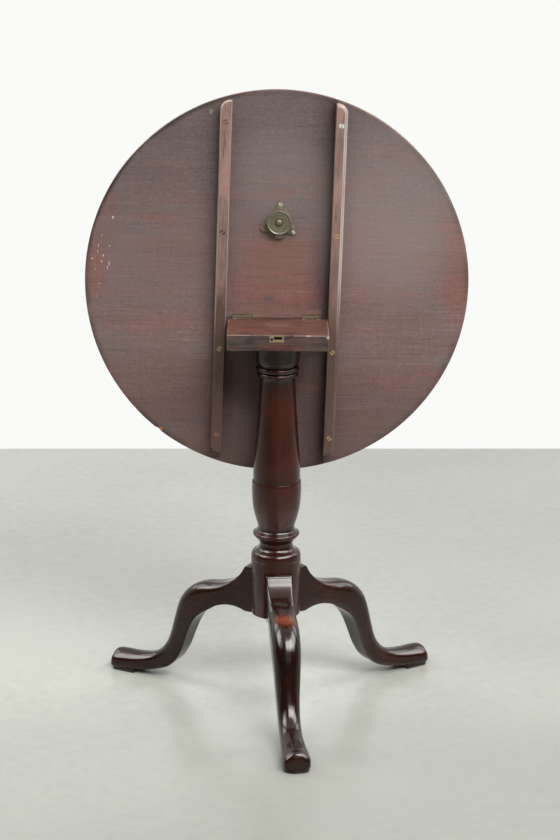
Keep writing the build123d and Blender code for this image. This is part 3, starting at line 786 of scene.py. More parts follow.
@dataclass(frozen=True)
class TiltedFrame:
    """The top's own frame while it stands tilted: x along the hinge, s up the underside, h off it."""

    hinge_y: float = 60.3
    hinge_z: float = 692.0
    lean: float = math.atan(1.4 / 27.6)
    seat: float = 0.3
    skew: float = math.radians(1.5)
    skew_point: float = 72.3

    def axes(self) -> Tuple[np.ndarray, np.ndarray, np.ndarray]:
        """Unit vectors along x, s and h."""
        up = np.array([0.0, math.sin(self.lean), math.cos(self.lean)])
        return np.array([1.0, 0.0, 0.0]), up, np.array([0.0, -up[2], up[1]])

    def point(self, x: Any, s: Any, h: Any) -> np.ndarray:
        """Points of the underside's frame, in millimetres, as places in metres.

        Args:
            x: along the hinge line.
            s: up the underside from the hinge line.
            h: off the underside, towards the catch side.

        Returns:
            Places, with a last axis of three.
        """
        x, s, h = np.broadcast_arrays(np.asarray(x, float), s, h)
        ex, es, eh = self.axes()
        start = np.array([0.0, self.hinge_y, self.hinge_z])
        return (start + x[..., None] * ex + s[..., None] * es + (h - self.seat)[..., None] * eh) * MM

    def skewed(self, across: Any, along: Any, h: Any) -> np.ndarray:
        """Points of the bearers' frame, turned a little about the middle of the closed block.

        Args:
            across, along: over the bearers and along them, in millimetres.
            h: off the underside.

        Returns:
            Places in metres, with a last axis of three.
        """
        c, d = math.cos(self.skew), math.sin(self.skew)
        across, along = np.asarray(across, float), np.asarray(along, float)
        return self.point(across * c + along * d, self.skew_point - across * d + along * c, h)


TILTED = TiltedFrame()


@dataclass
class Column:
    """The turned column: drum, necks, ring, vase, shaft, beads and capital."""

    wood: Material
    end_grain: Material
    bottom: float = 163.0
    drum: float = 44.3
    seat: float = 36.0
    seat_top: float = 249.0
    tenon: float = 22.0
    tenon_top: float = 691.8
    around: int = 360

    def profile(self) -> np.ndarray:
        """The turning's outline: arcs for shoulder, ring and beads, eased lines for necks, vase and shaft.

        Returns:
            Rows of radius, height and wear, from the foot up; wear below zero is grime in the coves, and
            painted shade under the block up the shaft's top, on the beads and on the capital.
        """
        arc = np.linspace(0, math.pi / 2, 9)
        shoulder = np.stack([37.4 + 6.9 * np.cos(arc), 272.5 + 10.5 * np.sin(arc), -0.4 * np.sin(arc)], 1)
        ring = np.linspace(-1.25, 1.25, 9)
        bands = [
            [(2, self.bottom, 0), (40.6, self.bottom, 0), (43.2, 164.6, 0.3), (self.drum, 167.5, 0.2)],
            [(self.drum, self.seat_top - 0.1, 0), (self.drum, self.seat_top + 0.1, 0.2)],
            [(self.drum, 267.0, 0.1), (43.7, 267.5, 0), (43.7, 268.1, 0), (self.drum, 268.6, 0.4)],
            shoulder,
            eased([(36.2, 283.3, 0), (33.2, 285.2, -0.3), (30.8, 288.2, -0.5), (29.6, 293, -0.5),
                   (29.9, 298, -0.4), (32.4, 302.2, -0.2), (36.4, 306.4, 0), (39.6, 310.2, 0.3)]),
            np.stack([38.9 + 2.7 * np.cos(ring), 314.2 + 3.2 * np.sin(ring), -0.5 * np.sin(ring)], 1),
            eased([(37.2, 318.6, 0), (34.4, 320, -0.5), (32.7, 322.6, -0.8), (32.5, 325.5, -0.4),
                   (33.2, 331, -0.2), (35.0, 336.8, -0.1), (38.1, 347.9, 0), (40.8, 359.1, 0),
                   (42.4, 370.2, 0), (43.3, 381.4, 0), (43.8, 396, -0.1), (43.6, 407.5, -0.2)]),
            [(43.3, 410.6, -0.2), (42.8, 411.6, -0.2), (41.5, 411.8, -0.5)],
            # wear below zero up the shaft's top is painted shade under the block
            eased([(41.5, 412.4, -0.5), (41.6, 431, -0.2), (40.9, 451, 0), (39.2, 473, 0),
                   (37.5, 495, 0), (35.9, 517, -0.1), (34.3, 539, -0.2), (32.9, 560, -0.3),
                   (31.7, 582, -0.5), (31.3, 595, -0.7), (32.0, 599.4, -0.8), (32.6, 600.6, -0.8)]),
            self.bead(605.2, 36.4, 4.6), self.bead(615.2, 38.4, 5.2),
            # wear below zero on the capital is painted shade under the block
            eased([(34.6, 620.6, -0.9), (35.6, 623, -0.8), (37.6, 627, -0.7), (38.4, 635, -0.6),
                   (38.8, 645, -0.6), (39.6, 655, -0.7)]),
            [(40.5, 656.5, -0.8), (40.5, 663.6, -0.8), (39.9, 664.3, 0), (self.tenon, 664.35, 0)],
            [(self.tenon, self.tenon_top - 0.4, 0), (self.tenon - 0.4, self.tenon_top, 0),
             (2, self.tenon_top, 0)],
        ]
        return np.concatenate([np.asarray(band, float) for band in bands])

    @staticmethod
    def bead(height: float, radius: float, half: float) -> np.ndarray:
        """A half round bead: the outer part of a circle, in painted shade under the block that is least at
        its crown.

        Args:
            height, radius: where its crown is.
            half: the circle's radius.

        Returns:
            Rows of radius, height and wear.
        """
        turn = np.linspace(-1.35, 1.35, 9)
        # painted shade under the block, as wear below zero
        grime = -0.8 + 0.3 * np.cos(turn) ** 2
        return np.stack([radius - half + half * np.cos(turn), height + half * np.sin(turn), grime], 1)

    def build(self) -> None:
        """Turn the outline about the axis, with a flat on the drum for each leg."""
        outline = self.profile()
        turn = circle(self.around)
        radius = np.repeat(outline[:, :1], self.around, axis=1)
        low = outline[:, 1] < self.seat_top
        for leg in LEG_ANGLES.values():
            off = np.cos(turn - math.radians(leg))
            flat = np.where(off > 0.5, self.seat / np.maximum(off, 0.5), 1e3)
            radius[low] = np.minimum(radius[low], flat)
        height = np.broadcast_to(outline[:, 1:2], radius.shape)
        grid = np.stack([radius * np.cos(turn), radius * np.sin(turn), height], -1) * MM
        bands = (outline[:-1, 1] > self.tenon_top - 1).astype(int)
        skin = lattice(grid, outline[:, 2:], grid[..., [2, 0, 1]], finish=bands)
        make_piece("column_turning", [skin], [self.wood, self.end_grain], "base",
                   ["column"], 30.0)


@dataclass
class Leg:
    """A cabriole leg along its own direction, from its seat on the drum to its toe and sole."""

    name: str
    wood: Material
    worn: float
    sole_heel: float = 283.0
    sole_half: float = 22.0
    toe_end: float = 336.0
    arris: float = 1.4
    most_rounding: float = 0.86
    most_reach: float = 0.92
    per_span: int = 7

    def stations(self) -> np.ndarray:
        """Cross-sections along the leg.

        Returns:
            Rows of back (out, up), underside (out, up), half width, rounding, crown and wear.
        """
        return np.array([
            (36.2, 249, 36.2, 163, 22.5, 1.6, 0.2, 0.1), (49.5, 249, 49.5, 163, 22.5, 1.8, 0.2, 0.2),
            (54, 243.5, 54, 164, 22.5, 2.0, 0.2, 0.2), (61, 232.6, 60, 166.4, 22.6, 3, 0.2, 0.1),
            (76, 218.5, 73, 169.4, 23, 6, 0.3, 0), (95, 208.4, 90, 169.4, 23.8, 10.5, 0.5, 0.1),
            (117.5, 203.2, 108, 164.5, 24.7, 16, 0.5, 0.5), (140, 200.4, 121.5, 156.4, 25, 20, 0.5, 0.8),
            (158.5, 194, 133.5, 148.8, 25.1, 21, 0.5, 0.5), (174.5, 182.6, 145.5, 140, 24.9, 21.5, 0.5, 0.2),
            (187.5, 166.5, 155.5, 128.5, 24.3, 21, 0.5, 0.2), (196, 147, 163.5, 114.5, 23.4, 20.5, 0.6, 0.1),
            (203.5, 120, 172.3, 93, 22, 19, 0.8, 0), (213, 88, 181.5, 67.5, 20.1, 17.5, 1.2, 0),
            (220.5, 70.5, 189.5, 51.5, 19.3, 16.5, 1.6, 0), (232, 55.3, 199.2, 37.4, 18.8, 16, 1.9, 0.1),
            (246.3, 45.2, 215, 24.4, 18.6, 15.5, 2.2, 0.2), (262, 40.3, 243, 14.5, 19, 15, 2.5, 0.3),
            (285, 38.0, 277, 8.4, 21.2, 17, 5.2, 0.2), (308, 38.2, 306, 7.0, 23.2, 20, 8.6, 0.2),
            (321, 37.6, 322, 6.8, 23.8, 20.5, 10.4, 0.2), (329.5, 34.6, 331, 7, 22.0, 18, 9.4, 0.2),
            (333.4, 28.4, 334.2, 7.2, 18, 13, 6.0, 0.1), (334.7, 22.5, 335, 7.6, 13.5, 8, 2.6, 0.1)])

    def section(self, height: np.ndarray, half: np.ndarray, rounding: np.ndarray,
                crown: np.ndarray) -> Tuple[np.ndarray, np.ndarray]:
        """One ring for each station: a flat base, upright sides, and a back rounded at its corners.

        Args:
            height, half, rounding, crown: sizes of each station.

        Returns:
            How far across and how far up each point lies.
        """
        bounded = np.minimum(rounding, self.most_rounding * height)
        tall, wide, bend, rise = (value[:, None] for value in (height, half, bounded, crown))
        quarter = np.linspace(0, math.pi / 2, 10)[None, :]
        side = np.linspace(0, 1, 6)[None, 1:-1]
        flat = np.linspace(1, 0, 5)[None, 1:]
        base = np.linspace(0, 1, 5)[None, :]
        reach = np.minimum(bend, wide * self.most_reach)
        across = np.concatenate([base * (wide - self.arris), wide + 0 * side,
                                 wide - reach * (1 - np.cos(quarter)), flat * (wide - reach)], axis=1)
        up = np.concatenate([0 * base + 0 * wide, self.arris + side * (tall - bend - self.arris),
                             tall - bend + bend * np.sin(quarter), tall + 0 * flat], axis=1)
        up = up + rise * (1 - (across / wide) ** 2) * (up / tall) ** 4 - rise * (up / tall) ** 4
        ring_across = np.concatenate([across, -across[:, -2:0:-1]], axis=1)
        ring_up = np.concatenate([up, up[:, -2:0:-1]], axis=1)
        return ring_across, ring_up

    def build(self) -> None:
        """Carry the section along the stations, and set a sole under the toe."""
        rows = eased(self.stations(), self.per_span)
        back, under = rows[:, 0:2], rows[:, 2:4]
        lift = back - under
        tall = np.linalg.norm(lift, axis=1)
        across, up = self.section(tall, rows[:, 4], rows[:, 5], rows[:, 6])
        plane = under[:, None, :] + (up / tall[:, None])[..., None] * lift[:, None, :]
        steps = np.linalg.norm(np.diff((back + under) / 2, axis=0), axis=1)
        own_figure = 3 * LEG_ANGLES[self.name]
        length = np.concatenate([[0], np.cumsum(steps)])[:, None] + own_figure
        grain = np.stack([np.broadcast_to(length, across.shape), across, up], -1) * MM
        wear = self.worn * np.clip(rows[:, 7:8] * (up / tall[:, None]) ** 3, 0, 1)
        skins = [lattice(self.placed(plane[..., 0], across, plane[..., 1]), wear, grain), self.sole()]
        make_piece(self.name + "_cabriole", skins, [self.wood], "base", [self.name], 45.0)

    def placed(self, out: np.ndarray, across: np.ndarray, up: np.ndarray) -> np.ndarray:
        """Points of the leg's own frame, turned to its direction.

        Args:
            out, across, up: along the leg, over it and up, in millimetres.

        Returns:
            Places in metres.
        """
        turn = math.radians(LEG_ANGLES[self.name])
        x = out * math.cos(turn) - across * math.sin(turn)
        y = out * math.sin(turn) + across * math.cos(turn)
        return np.stack([x, y, up], -1) * MM

    def sole(self) -> Skin:
        """The pad under the toe: a squared outline, drawn in a little at its base.

        Returns:
            The pad.
        """
        half, heel, toe = self.sole_half, self.sole_heel, self.toe_end
        corner = [(heel, half - 2), (heel + 1, half), (toe - 13, half), (toe - 8.5, half - 1.6),
                  (toe - 5, half - 4.8), (toe - 2.4, half - 10), (toe - 1, half - 16.5)]
        outline = np.array([(out, -across) for out, across in corner] + corner[::-1])
        middle = outline.mean(axis=0)
        levels = np.array([(0.0, 0.985), (0.8, 1.0), (8.5, 1.0), (9.5, 0.97)])
        plan = middle + (outline - middle)[None] * levels[:, 1][:, None, None]
        height = np.broadcast_to(levels[:, :1], plan.shape[:2])
        grid = self.placed(plan[..., 0], plan[..., 1], height)
        return lattice(grid, 0.0, np.stack([plan[..., 0], plan[..., 1], height], -1) * MM)


@dataclass
class RoundTop:
    """The round board: a dry underside, and a polished face and edge.

    Its rim is uneven from edge_from, and fully so from edge_full, both measured inwards.
    """

    dry: Material
    polished: Material
    radius: float = 337.0
    thickness: float = 19.0
    centre_x: float = -3.0
    centre_s: float = 60.3
    sink: float = 0.15
    edge_from: float = 37.0
    edge_full: float = 7.0
    wavering: float = 0.35
    nick_at: Pair = (-208.0, -263.0)
    nick_depth: float = 2.4
    nick_width: float = 0.012
    nick_floor: float = -8.0
    dry_bands: int = 5
    around: int = 720

    def outline(self) -> np.ndarray:
        """The board's half section, from the underside's middle over the edge to the show face's middle.

        Returns:
            Rows of how far inside the rim, height off the underside, and wear.
        """
        low, high = -self.sink, -self.thickness
        return np.array([
            (331, low, 0), (187, low, 0), (self.edge_from, low, 0), (self.edge_full, low, 0),
            (2.4, low, 0.3), (1.0, -0.6, 0.9), (0.3, -1.6, 0.9), (0.1, -3.0, 0.4), (0, -9, 0.1),
            (0.1, -14.5, 0.3), (0.6, high + 3, 0.8), (2, high + 1.3, 0.7), (3.6, high + 0.3, 0.4),
            (6, high, 0.1), (self.edge_from, high, 0), (187, high, 0), (331, high, 0)])

    def build(self) -> None:
        """Turn the half section about the disc's axis, with a slow waver and one small nick."""
        outline = self.outline()
        inside, height = outline[:, :1], outline[:, 1:2]
        turn = circle(self.around)
        waver = 0.25 * (np.sin(3 * turn + 0.7) + np.sin(7 * turn + 2.1) + np.sin(13 * turn)) - 0.76
        nick_turn = math.atan2(self.nick_at[1], self.nick_at[0]) + 2 * math.pi
        nick = self.nick_depth * np.exp(-((turn - nick_turn) / self.nick_width) ** 2)
        near_edge = np.clip((self.edge_from - inside) / (self.edge_from - self.edge_full), 0, 1)
        uneven = self.wavering * waver - nick * (height > self.nick_floor)
        radius = self.radius - inside + near_edge * uneven
        x = self.centre_x + radius * np.cos(turn)
        s = self.centre_s + radius * np.sin(turn)
        h = np.broadcast_to(height, x.shape)
        bands = (np.arange(len(outline) - 1) >= self.dry_bands).astype(int)
        skin = lattice(TILTED.point(x, s, h), outline[:, 2:], np.stack([x, s, h], -1) * MM, finish=bands)
        make_piece("round_top", [skin], [self.dry, self.polished], "top", ["top"], 50.0)


@dataclass
class Bearer:
    """A bearer along the underside: chamfered outer arrises, its ends rounded off."""

    name: str
    side: int
    wood: Material
    outer_bevel: float
    inner_bevel: float = 0.4
    length: float = 620.0
    width: float = 20.2
    thickness: float = 24.0
    chamfer: float = 3.0
    end_round: float = 17.0
    offset: float = 99.55
    middle: float = -5.3
    own_figure: float = 900.0

    def build(self) -> None:
        """Raise the bearer's plan, its two outer corners rounded, and draw it in over the chamfer."""
        half, end, bend = self.width / 2, self.length / 2, self.end_round
        arc = np.linspace(-math.pi / 2, 0, 12)
        corner = np.stack([half - bend + bend * np.cos(arc), bend - end + bend * np.sin(arc)], 1)
        lower = np.concatenate([[(-half, -end)], corner])
        outline = np.concatenate([lower, lower[::-1] * (1, -1)]) * (self.side, 1)
        edges = np.roll(outline, -1, axis=0) - outline
        normals = np.stack([edges[:, 1], -edges[:, 0]], 1) * self.side
        normals /= np.linalg.norm(normals, axis=1)[:, None]
        before = np.roll(normals, 1, axis=0)
        mitre = (normals + before) / (1 + np.sum(normals * before, axis=1))[:, None]
        mitre[1:-1] *= self.outer_bevel
        mitre[[0, -1]] *= self.inner_bevel
        c, t = self.chamfer, self.thickness
        levels = np.array([(0, -0.1, 0), (0, 0.6, 0.1), (0, t - c - 0.8, 0.3), (0.2, t - c, 1),
                           (0.5 * c, t - 0.5 * c, 0.4), (c, t - 0.15, 0.7), (c + 0.9, t, 0.05)])
        plan = outline[None] - levels[:, 0, None, None] * mitre[None]
        across, run = plan[..., 0], plan[..., 1]
        height = np.broadcast_to(levels[:, 1:2], across.shape)
        grid = TILTED.skewed(self.side * self.offset + across, self.middle + run, height)
        grain = np.stack([run + self.own_figure * self.side, across, height], -1) * MM
        make_piece(self.name + "_rail", [lattice(grid, levels[:, 2:], grain)], [self.wood], "top",
                   [self.name], 20.0)


@dataclass(frozen=True)
class ScrewSize:
    """A countersunk screw: head radius and height, shank radius and length."""

    head: float
    head_height: float
    shank: float
    length: float
    around: int = 40

    def skin(self, origin: np.ndarray, out: np.ndarray, slot_turn: float, tone: float) -> Skin:
        """A screw turned about its own axis; the head's face is lowered along a slot.

        Args:
            origin: the middle of the head's face, in metres.
            out: the unit vector that the face looks along, square to X.
            slot_turn: the slot's direction in degrees, from X.
            tone: the screw's place in the range of tones.

        Returns:
            The screw.
        """
        head, deep = self.head, self.head_height
        rings = np.concatenate([np.linspace(0.06, 0.94, 12) * head, [head * 0.985, head]])
        dome = 0.12 * (1 - (rings / head) ** 2) - 0.06 * (rings / head > 0.97)
        outline = np.concatenate([np.stack([rings, dome], 1), [
            (head * 0.99, -0.25), (self.shank, -deep), (self.shank * 0.9, -self.length * 0.7),
            (0.2, -self.length)]])
        turn = circle(self.around)
        x, y = outline[:, :1] * np.cos(turn), outline[:, :1] * np.sin(turn)
        face = np.arange(len(outline)) < len(rings)
        groove = ((np.abs(y) < 0.16 * head) & face[:, None]).astype(float)
        height = outline[:, 1:2] - groove * 0.3 * deep
        dark = np.maximum(groove, (outline[:, :1] > 0.9 * head) * 0.8)
        spin = math.radians(slot_turn)
        across = np.array([1.0, 0.0, 0.0])
        first = math.cos(spin) * across + math.sin(spin) * np.cross(out, across)
        second = np.cross(out, first)
        grid = origin + (x[..., None] * first + y[..., None] * second + height[..., None] * out) * MM
        return lattice(grid, dark, None, tone)


@dataclass(frozen=True)
class ScrewGroup:
    """Screws of one size that face one way: the node they stand for and, for each, place and age."""

    node: str
    body: str
    size: ScrewSize
    out: np.ndarray
    places: Sequence[np.ndarray]
    tones: Sequence[float]
    turns: Sequence[float]

    def build(self, metal: Material) -> None:
        """Make the group as one piece.

        Args:
            metal: the screws' finish.
        """
        rows = zip(self.places, self.turns, self.tones)
        skins = [self.size.skin(place, self.out, turn, tone) for place, turn, tone in rows]
        make_piece(self.node + "_heads", skins, [metal], self.body, [self.node], 30.0)


@dataclass
class Fasteners:
    """All the screws, each with its own age and slot direction."""

    bearer: ScrewSize = ScrewSize(4.9, 2.6, 2.2, 35.0)
    small: ScrewSize = ScrewSize(2.9, 1.5, 1.4, 12.0)
    lug: ScrewSize = ScrewSize(3.5, 1.5, 1.4, 12.0)
    stations: Tuple[float, ...] = (272.8, 82.5, -122.8, -277.1)
    hinges: Tuple[float, ...] = (-62.5, 58.0)
    hinge_spread: float = 13.0
    hinge_up_top: float = 8.5
    hinge_on_block: Pair = (43.8, 692.0)
    strike: Triple = (-10.5, -83.0, 684.6)

    def groups(self) -> List[ScrewGroup]:
        """Every group of screws on the table.

        Returns:
            The groups, the bearers' first.
        """
        out, up, front = TILTED.axes()[2], np.array([0.0, 0.0, 1.0]), np.array([0.0, -1.0, 0.0])
        found = []
        for side, hand, tones, turns in ((-1, "left", (0.27, 0.08, 0.72, 0.5), (20, 48, -35, 75)),
                                         (1, "right", (1.0, 0.76, 0.7, 0.66), (85, 10, -50, 40))):
            places = [TILTED.skewed(side * Bearer.offset, Bearer.middle + run, Bearer.thickness)
                      for run in self.stations]
            found.append(ScrewGroup("bearer_screws_" + hand, "top", self.bearer, out, places, tones, turns))
        lugs = [CATCH.place(CATCH.lug_circle, angle, CATCH.flange_top)
                for angle in np.radians(CATCH.lug_angles)]
        spots = [x + way * self.hinge_spread for x in self.hinges for way in (-1, 1)]
        on_top = [TILTED.point(x, self.hinge_up_top, 0.0) for x in spots]
        on_block = [np.array([x, *self.hinge_on_block]) * MM for x in spots]
        strike = [np.array(self.strike) * MM]
        return found + [
            ScrewGroup("catch_screws", "top", self.lug, out, lugs, (1.0, 0.5, 0.97), (70, 15, 30)),
            ScrewGroup("hinge_top_screws", "top", self.small, out, on_top, (0.3,) * 4, (10, 60, 35, 80)),
            ScrewGroup("hinge_block_screws", "base", self.small, up, on_block, (0.75,) * 4, (30, 75, 0, 50)),
            ScrewGroup("strike_screw", "base", self.small, front, strike, (0.05,), (40,))]


@dataclass(frozen=True)
class Catch:
    """The round catch on the underside: a cup on a flange with three lugs, and a dished knob."""

    centre: Pair = (0.0, 168.3)
    cup: float = 19.5
    cup_top: float = 11.6
    flange: float = 21.0
    flange_top: float = 3.0
    flange_shift: Pair = (1.6, 1.0)
    lug_circle: float = 31.0
    lug_end: float = 33.5
    lug_half: float = 7.6
    lug_squareness: float = 3.2
    lug_fillet: float = 4.6
    lug_angles: Tuple[float, ...] = (85.5, 205.5, 325.5)
    around: int = 360
    spring_half: float = 9.6
    spring_bow: float = 6.3
    spring_end: float = 13.5
    spring_leaf: float = 0.6
    spring_floor: float = 3.3
    spring_height: float = 3.4
    spring_keep: float = 0.346

    def place(self, radius: Any, turn: Any, h: Any) -> np.ndarray:
        """Points round the catch's axis: radius and height in millimetres, turn in radians."""
        return TILTED.point(self.centre[0] + radius * np.cos(turn), self.centre[1] + radius * np.sin(turn), h)

    def flange_edge(self, turn: np.ndarray) -> np.ndarray:
        """The flange's outline as a radius at each turn: a round a little off centre, and lugs.

        Args:
            turn: directions in radians.

        Returns:
            The radii.
        """
        edge = self.flange + self.flange_shift[0] * np.cos(turn) + self.flange_shift[1] * np.sin(turn)
        square, fillet = self.lug_squareness, self.lug_fillet
        for angle in np.radians(self.lug_angles):
            ahead, aside = np.cos(turn - angle), np.abs(np.sin(turn - angle))
            squared = (np.maximum(ahead, 1e-3) / self.lug_end) ** square + (aside / self.lug_half) ** square
            lug = np.where(ahead > 0.2, squared ** (-1 / square), 0.0)
            edge = (edge ** fillet + lug ** fillet) ** (1 / fillet)
        return edge

    def turned(self, rows: Sequence[Tuple[Any, float, float]], turn: np.ndarray) -> Skin:
        """A skin turned about the catch's axis.

        Args:
            rows: radius, one for all turns or one for each, then height and wear.
            turn: directions in radians.

        Returns:
            The skin.
        """
        radius = np.stack([row[0] + 0 * turn for row in rows])
        height, wear = np.array([row[1:] for row in rows]).T[..., None]
        return lattice(self.place(radius, turn, height), wear)

    def build_cup(self, brass: Material) -> None:
        """The cup with its flange.

        Args:
            brass: its finish.
        """
        turn = circle(self.around)
        edge, cup, low, top = self.flange_edge(turn), self.cup, self.flange_top, self.cup_top
        rows = [(2, 0, 0), (edge, 0, 0.2), (edge, low - 0.7, 0.5), (edge - 0.25, low - 0.2, 1.0),
                (edge - 0.7, low, 0.4), (cup + 0.8, low, 0), (cup + 0.1, low + 0.3, 0), (cup, low + 1, 0),
                (cup, top - 0.7, 0.2), (cup - 0.6, top - 0.1, 0.4), (cup - 1.3, top, 0.1), (2, top, 0)]
        make_piece("catch_cup", [self.turned(rows, turn)], [brass], "top", ["catch_case"], 35.0)

    def build_knob(self, brass: Material) -> None:
        """The knob: a rim, a dish with one ring in it, and a boss round the spindle's end.

        Args:
            brass: its finish.
        """
        # Wear below zero paints shadow on the knob's underside and outer wall, where it stands off the cup,
        # and grime in its grooves; the raised wear at the rim's crown is a painted highlight.
        rows = [
            (2, 11.9, 0), (20.1, 11.9, -0.9), (20.8, 12.2, -0.9), (21, 13, -0.8), (21, 14.8, -0.7),
            (20.7, 15.3, -0.3), (20.1, 15.5, 0.4), (19.4, 15.4, 0.3), (18.8, 15.0, 0), (18.2, 14.6, -0.6),
            (17.4, 14.4, -0.1), (15.6, 14.3, 0), (15.2, 14.4, 0), (14.7, 14.45, 0.1), (14.2, 14.35, 0),
            (13.8, 14.2, -0.4), (12.6, 14.15, 0), (8.6, 13.9, 0), (6.6, 13.8, -0.5), (5.9, 13.9, -0.8),
            (5.5, 14.6, -0.6), (5.1, 15.6, -0.2), (4.3, 16.3, 0), (3.4, 16.7, 0.1), (2.4, 16.9, 0)]
        skin = self.turned(rows, circle(self.around // 3))
        make_piece("catch_dished_knob", [skin], [brass], "knob", ["catch_knob"], 50.0)

    def build_spring(self, steel: Material) -> None:
        """The bowed leaf behind the bolt, made in its bowed shape only; the real leaf flattens as the bolt
        draws back.

        Args:
            steel: its finish.
        """
        x = np.linspace(-self.spring_half, self.spring_half, 25)
        bow = self.spring_bow + (self.spring_end - self.spring_bow) * (x / self.spring_half) ** 2
        across = np.concatenate([x, x[::-1]])
        along = self.centre[1] + np.concatenate([bow, bow[::-1] + self.spring_leaf])
        levels = np.array([[self.spring_floor], [self.spring_floor + self.spring_height]])
        leaf = make_piece("catch_leaf_spring", [lattice(TILTED.point(across, along, levels))], [steel], "top",
                          ["catch_spring"])
        fixed_end = TILTED.point(0, self.centre[1] + self.spring_end + self.spring_leaf, 0)
        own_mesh(leaf)


CATCH = Catch()


@dataclass(frozen=True)
class Lamp:
    """A soft rectangular lamp that looks at a target."""

    name: str
    place: Triple
    target: Triple
    size: Pair
    power: float

    def build(self) -> None:
        """Make the lamp and turn it to its target."""
        light = bpy.data.lights.new(self.name, "AREA")
        light.shape = "RECTANGLE"
        light.size, light.size_y = self.size
        light.energy = self.power
        lamp = bpy.data.objects.new(self.name, light)
        look = (Vector(self.target) - Vector(self.place)).to_track_quat("-Z", "Y")
        lamp.matrix_world = Matrix.Translation(self.place) @ look.to_matrix().to_4x4()
        bpy.context.scene.collection.objects.link(lamp)


@dataclass
class Stage:
    """Floor, lamps, sky and camera."""

    focal_px: float = 2150.0
    image_height_px: int = 840
    sensor_mm: float = 36.0
    eye: Triple = (-0.00401, -3.63723, 1.5145)
    pitch: float = 15.278
    pan: float = 0.141
    roll: float = -0.534
    view_end: float = 50.0
    floor_half: float = 7.0
    floor_front: float = -6.0
    floor_end: float = 1.63
    floor_turn: float = 0.032
    sky_white: Colour = paint(250, 251, 249)
    daylight: float = 0.12
    window: float = 13.0
    sheen: float = 0.8
    far_side: float = 0.8
    viewer_side: float = 0.08
    lamps: Tuple[Lamp, ...] = (
        Lamp("overhead", (0.0, 0.0, 3.8), (0, 0, 0), (4.5, 4.5), 56.0),
        Lamp("high_front", (1.5, -2.9, 3.8), (0, 0, 0.7), (2.6, 1.7), 130.0),
        Lamp("right_window", (2.6, -1.7, 2.2), (0, 0, 0.95), (1.0, 1.6), 19.0),
        Lamp("left_window", (-1.8, -2.4, 3.0), (0, 0, 0.7), (0.9, 1.5), 16.0),
        Lamp("back_left", (-2.5, 1.4, 2.2), (0, 0, 0.4), (1.2, 1.6), 26.0),
        Lamp("back_right", (2.5, 1.4, 2.2), (0, 0, 0.4), (1.2, 1.6), 26.0))

    def camera(self) -> None:
        """A camera from its pitch, pan and roll, with the focal length in image pixels."""
        p, q, r = (math.radians(a) for a in (self.pitch, self.pan, self.roll))
        ahead = Vector((math.sin(q) * math.cos(p), math.cos(q) * math.cos(p), -math.sin(p)))
        right = Vector((math.cos(q), -math.sin(q), 0.0))
        down = ahead.cross(right)
        turned_right = math.cos(r) * right + math.sin(r) * down
        turned_down = -math.sin(r) * right + math.cos(r) * down
        lens = bpy.data.cameras.new("photo_camera")
        lens.sensor_fit = "VERTICAL"
        lens.sensor_height = self.sensor_mm
        lens.lens = self.focal_px / self.image_height_px * self.sensor_mm
        lens.clip_end = self.view_end
        eye = bpy.data.objects.new("photo_camera", lens)
        columns = Matrix((turned_right, -turned_down, -ahead)).transposed().to_4x4()
        eye.matrix_world = Matrix.Translation(self.eye) @ columns
        bpy.context.scene.collection.objects.link(eye)
        bpy.context.scene.camera = eye

    def floor(self) -> None:
        """A floor that ends where the wall stands; the wall is the sky's white."""
        mesh = bpy.data.meshes.new("floor")
        half, front = self.floor_half, self.floor_front
        rise = half * math.tan(self.floor_turn)
        mesh.from_pydata([(-half, front, 0), (half, front, 0), (half, self.floor_end + rise, 0),
                          (-half, self.floor_end - rise, 0)], [], [(0, 1, 2, 3)])
        mesh.materials.append(Concrete("pale_concrete").material())
        floor = bpy.data.objects.new("floor", mesh)
        bpy.context.scene.collection.objects.link(floor)

    def sky(self) -> None:
        """White to the camera and soft as light; mirrored, dim on the viewer's side but for a window.

        The window is two high panes, to the right and far left, with a faint sheen between them that
        reaches lower.
        """
        world = bpy.data.worlds.new("studio")
        bpy.context.scene.world = world
        world.use_nodes = True
        graph = Graph(world)
        path = graph.add("ShaderNodeLightPath").socket.node.outputs
        seen = Value(graph, path["Is Camera Ray"]).largest(Value(graph, path["Is Transmission Ray"]))
        direct = 1 - Value(graph, path["Diffuse Depth"]).ramp(0.0, 1.0)
        mirrored = Value(graph, path["Is Glossy Ray"]) * direct
        across, ahead, up = graph.parts(graph.add("ShaderNodeTexCoord", output="Generated"))
        behind, above = ahead.ramp(-0.35, 0.5), up.ramp(-0.1, 1.0)
        soft = self.daylight * (0.3 + above * 1.4)
        aside = across / (1 - up * up).largest(1e-4) ** 0.5
        panes = aside.ramp(0.12, 0.34) + aside.ramp(-0.76, -0.9)
        window = panes * ahead.ramp(0.24, 0.04) * up.ramp(0.47, 0.58) * up.ramp(0.93, 0.8)
        strip = aside.ramp(-0.1, 0.15) * aside.ramp(0.5, 0.3)
        sheen = strip * ahead.ramp(0.1, -0.1) * up.ramp(0.16, 0.28)
        mirror = behind * self.far_side + window * self.window + sheen * self.sheen + self.viewer_side
        level = soft + mirrored * (mirror - soft)
        level = level + seen * (1 - level)
        light = graph.add("ShaderNodeBackground", None, {"Color": self.sky_white, "Strength": level})
        graph.tree.links.new(light.socket, graph.output.inputs["Surface"])

    def build(self) -> None:
        """Set the view and light the scene."""
        bpy.context.scene.view_settings.view_transform = "Standard"
        self.camera()
        self.floor()
        self.sky()
        for lamp in self.lamps:
            lamp.build()


def dress_solids(finishes: Dict[Material, Sequence[str]]) -> None:
    """Give each solid that stays shown its finish.

    Args:
        finishes: the solids' names for each material.
    """
    for finish, names in finishes.items():
        for name in names:
            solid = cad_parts[name]
            if not solid.material_slots:
                solid.data.materials.append(finish)
            for slot in solid.material_slots:
                slot.material = finish


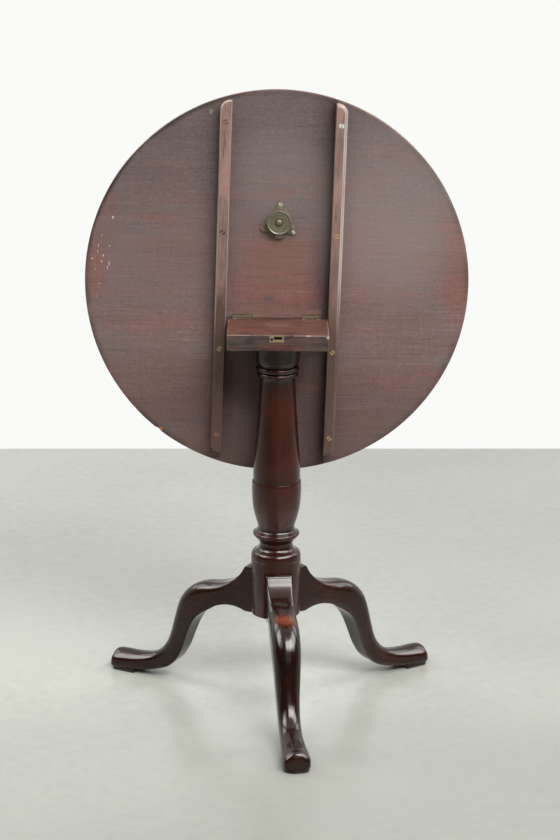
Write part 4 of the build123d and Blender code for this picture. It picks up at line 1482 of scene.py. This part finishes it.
def main() -> None:
    """Build the table's looks, piece by piece."""
    logging.basicConfig(level=logging.INFO, format="%(message)s")
    Stage().build()
    end_grain = EndGrain("end_grain").material()
    Column(WaxedMahogany("waxed_mahogany").material(), end_grain).build()
    dark_waxed = WaxedMahogany("dark_waxed_mahogany", paint(19, 9, 4), paint(50, 20, 10), paint(148, 72, 46),
                               coat=0.3).material()
    for name, worn in (("leg_front", 1.0), ("leg_right", 0.4), ("leg_left", 0.5)):
        Leg(name, dark_waxed, worn).build()
    show_face = WaxedMahogany("polished_show_face", paint(74, 30, 17), paint(122, 55, 32), coat=0.8)
    RoundTop(DryUnderside("dry_underside").material(), show_face.material()).build()
    bearer_wood = RubbedBearer("rubbed_bearer").material()
    for name, side, bevel in (("bearer_left", -1, 0.7), ("bearer_right", 1, 1.6)):
        Bearer(name, side, bearer_wood, bevel).build()
    screw_metal = ScrewMetal("screw_metal").material()
    stained = StainedLeaf("stained_leaf").material()
    for group in Fasteners().groups():
        group.build(stained if group.node == "hinge_top_screws" else screw_metal)
    cup_brass = AgedMetal("aged_catch_brass", paint(150, 135, 102), paint(88, 78, 60), dirt=0.66).material()
    CATCH.build_cup(cup_brass)
    knob_brass = AgedMetal("dull_knob_brass", paint(150, 141, 120), paint(104, 97, 83), dirt=0.55).material()
    CATCH.build_knob(knob_brass)
    CATCH.build_spring(AgedMetal("spring_steel", paint(130, 132, 138), paint(80, 82, 88)).material())
    strike_brass = AgedMetal("strike_brass", paint(208, 188, 150), paint(150, 132, 104), paint(84, 70, 54),
                             0.42)
    grimy_leaf = AgedMetal("grimy_leaf", paint(120, 104, 88), paint(84, 68, 60), paint(52, 42, 38), 0.8)
    dress_solids({
        WornBlock("worn_block").material(): ["block"],
        end_grain: ["column_wedge"],
        AgedMetal("rubbed_catch_brass").material(): ["catch_back_plate", "catch_bolt"],
        knob_brass: ["catch_spindle"],
        strike_brass.material(): ["strike_plate"],
        grimy_leaf.material(): ["hinge_left_pin", "hinge_right_pin"],
        stained: [f"hinge_{hand}_{part}_leaf" for hand in ("left", "right") for part in ("block", "top")],
    })


if __name__ == "__main__":
    main()
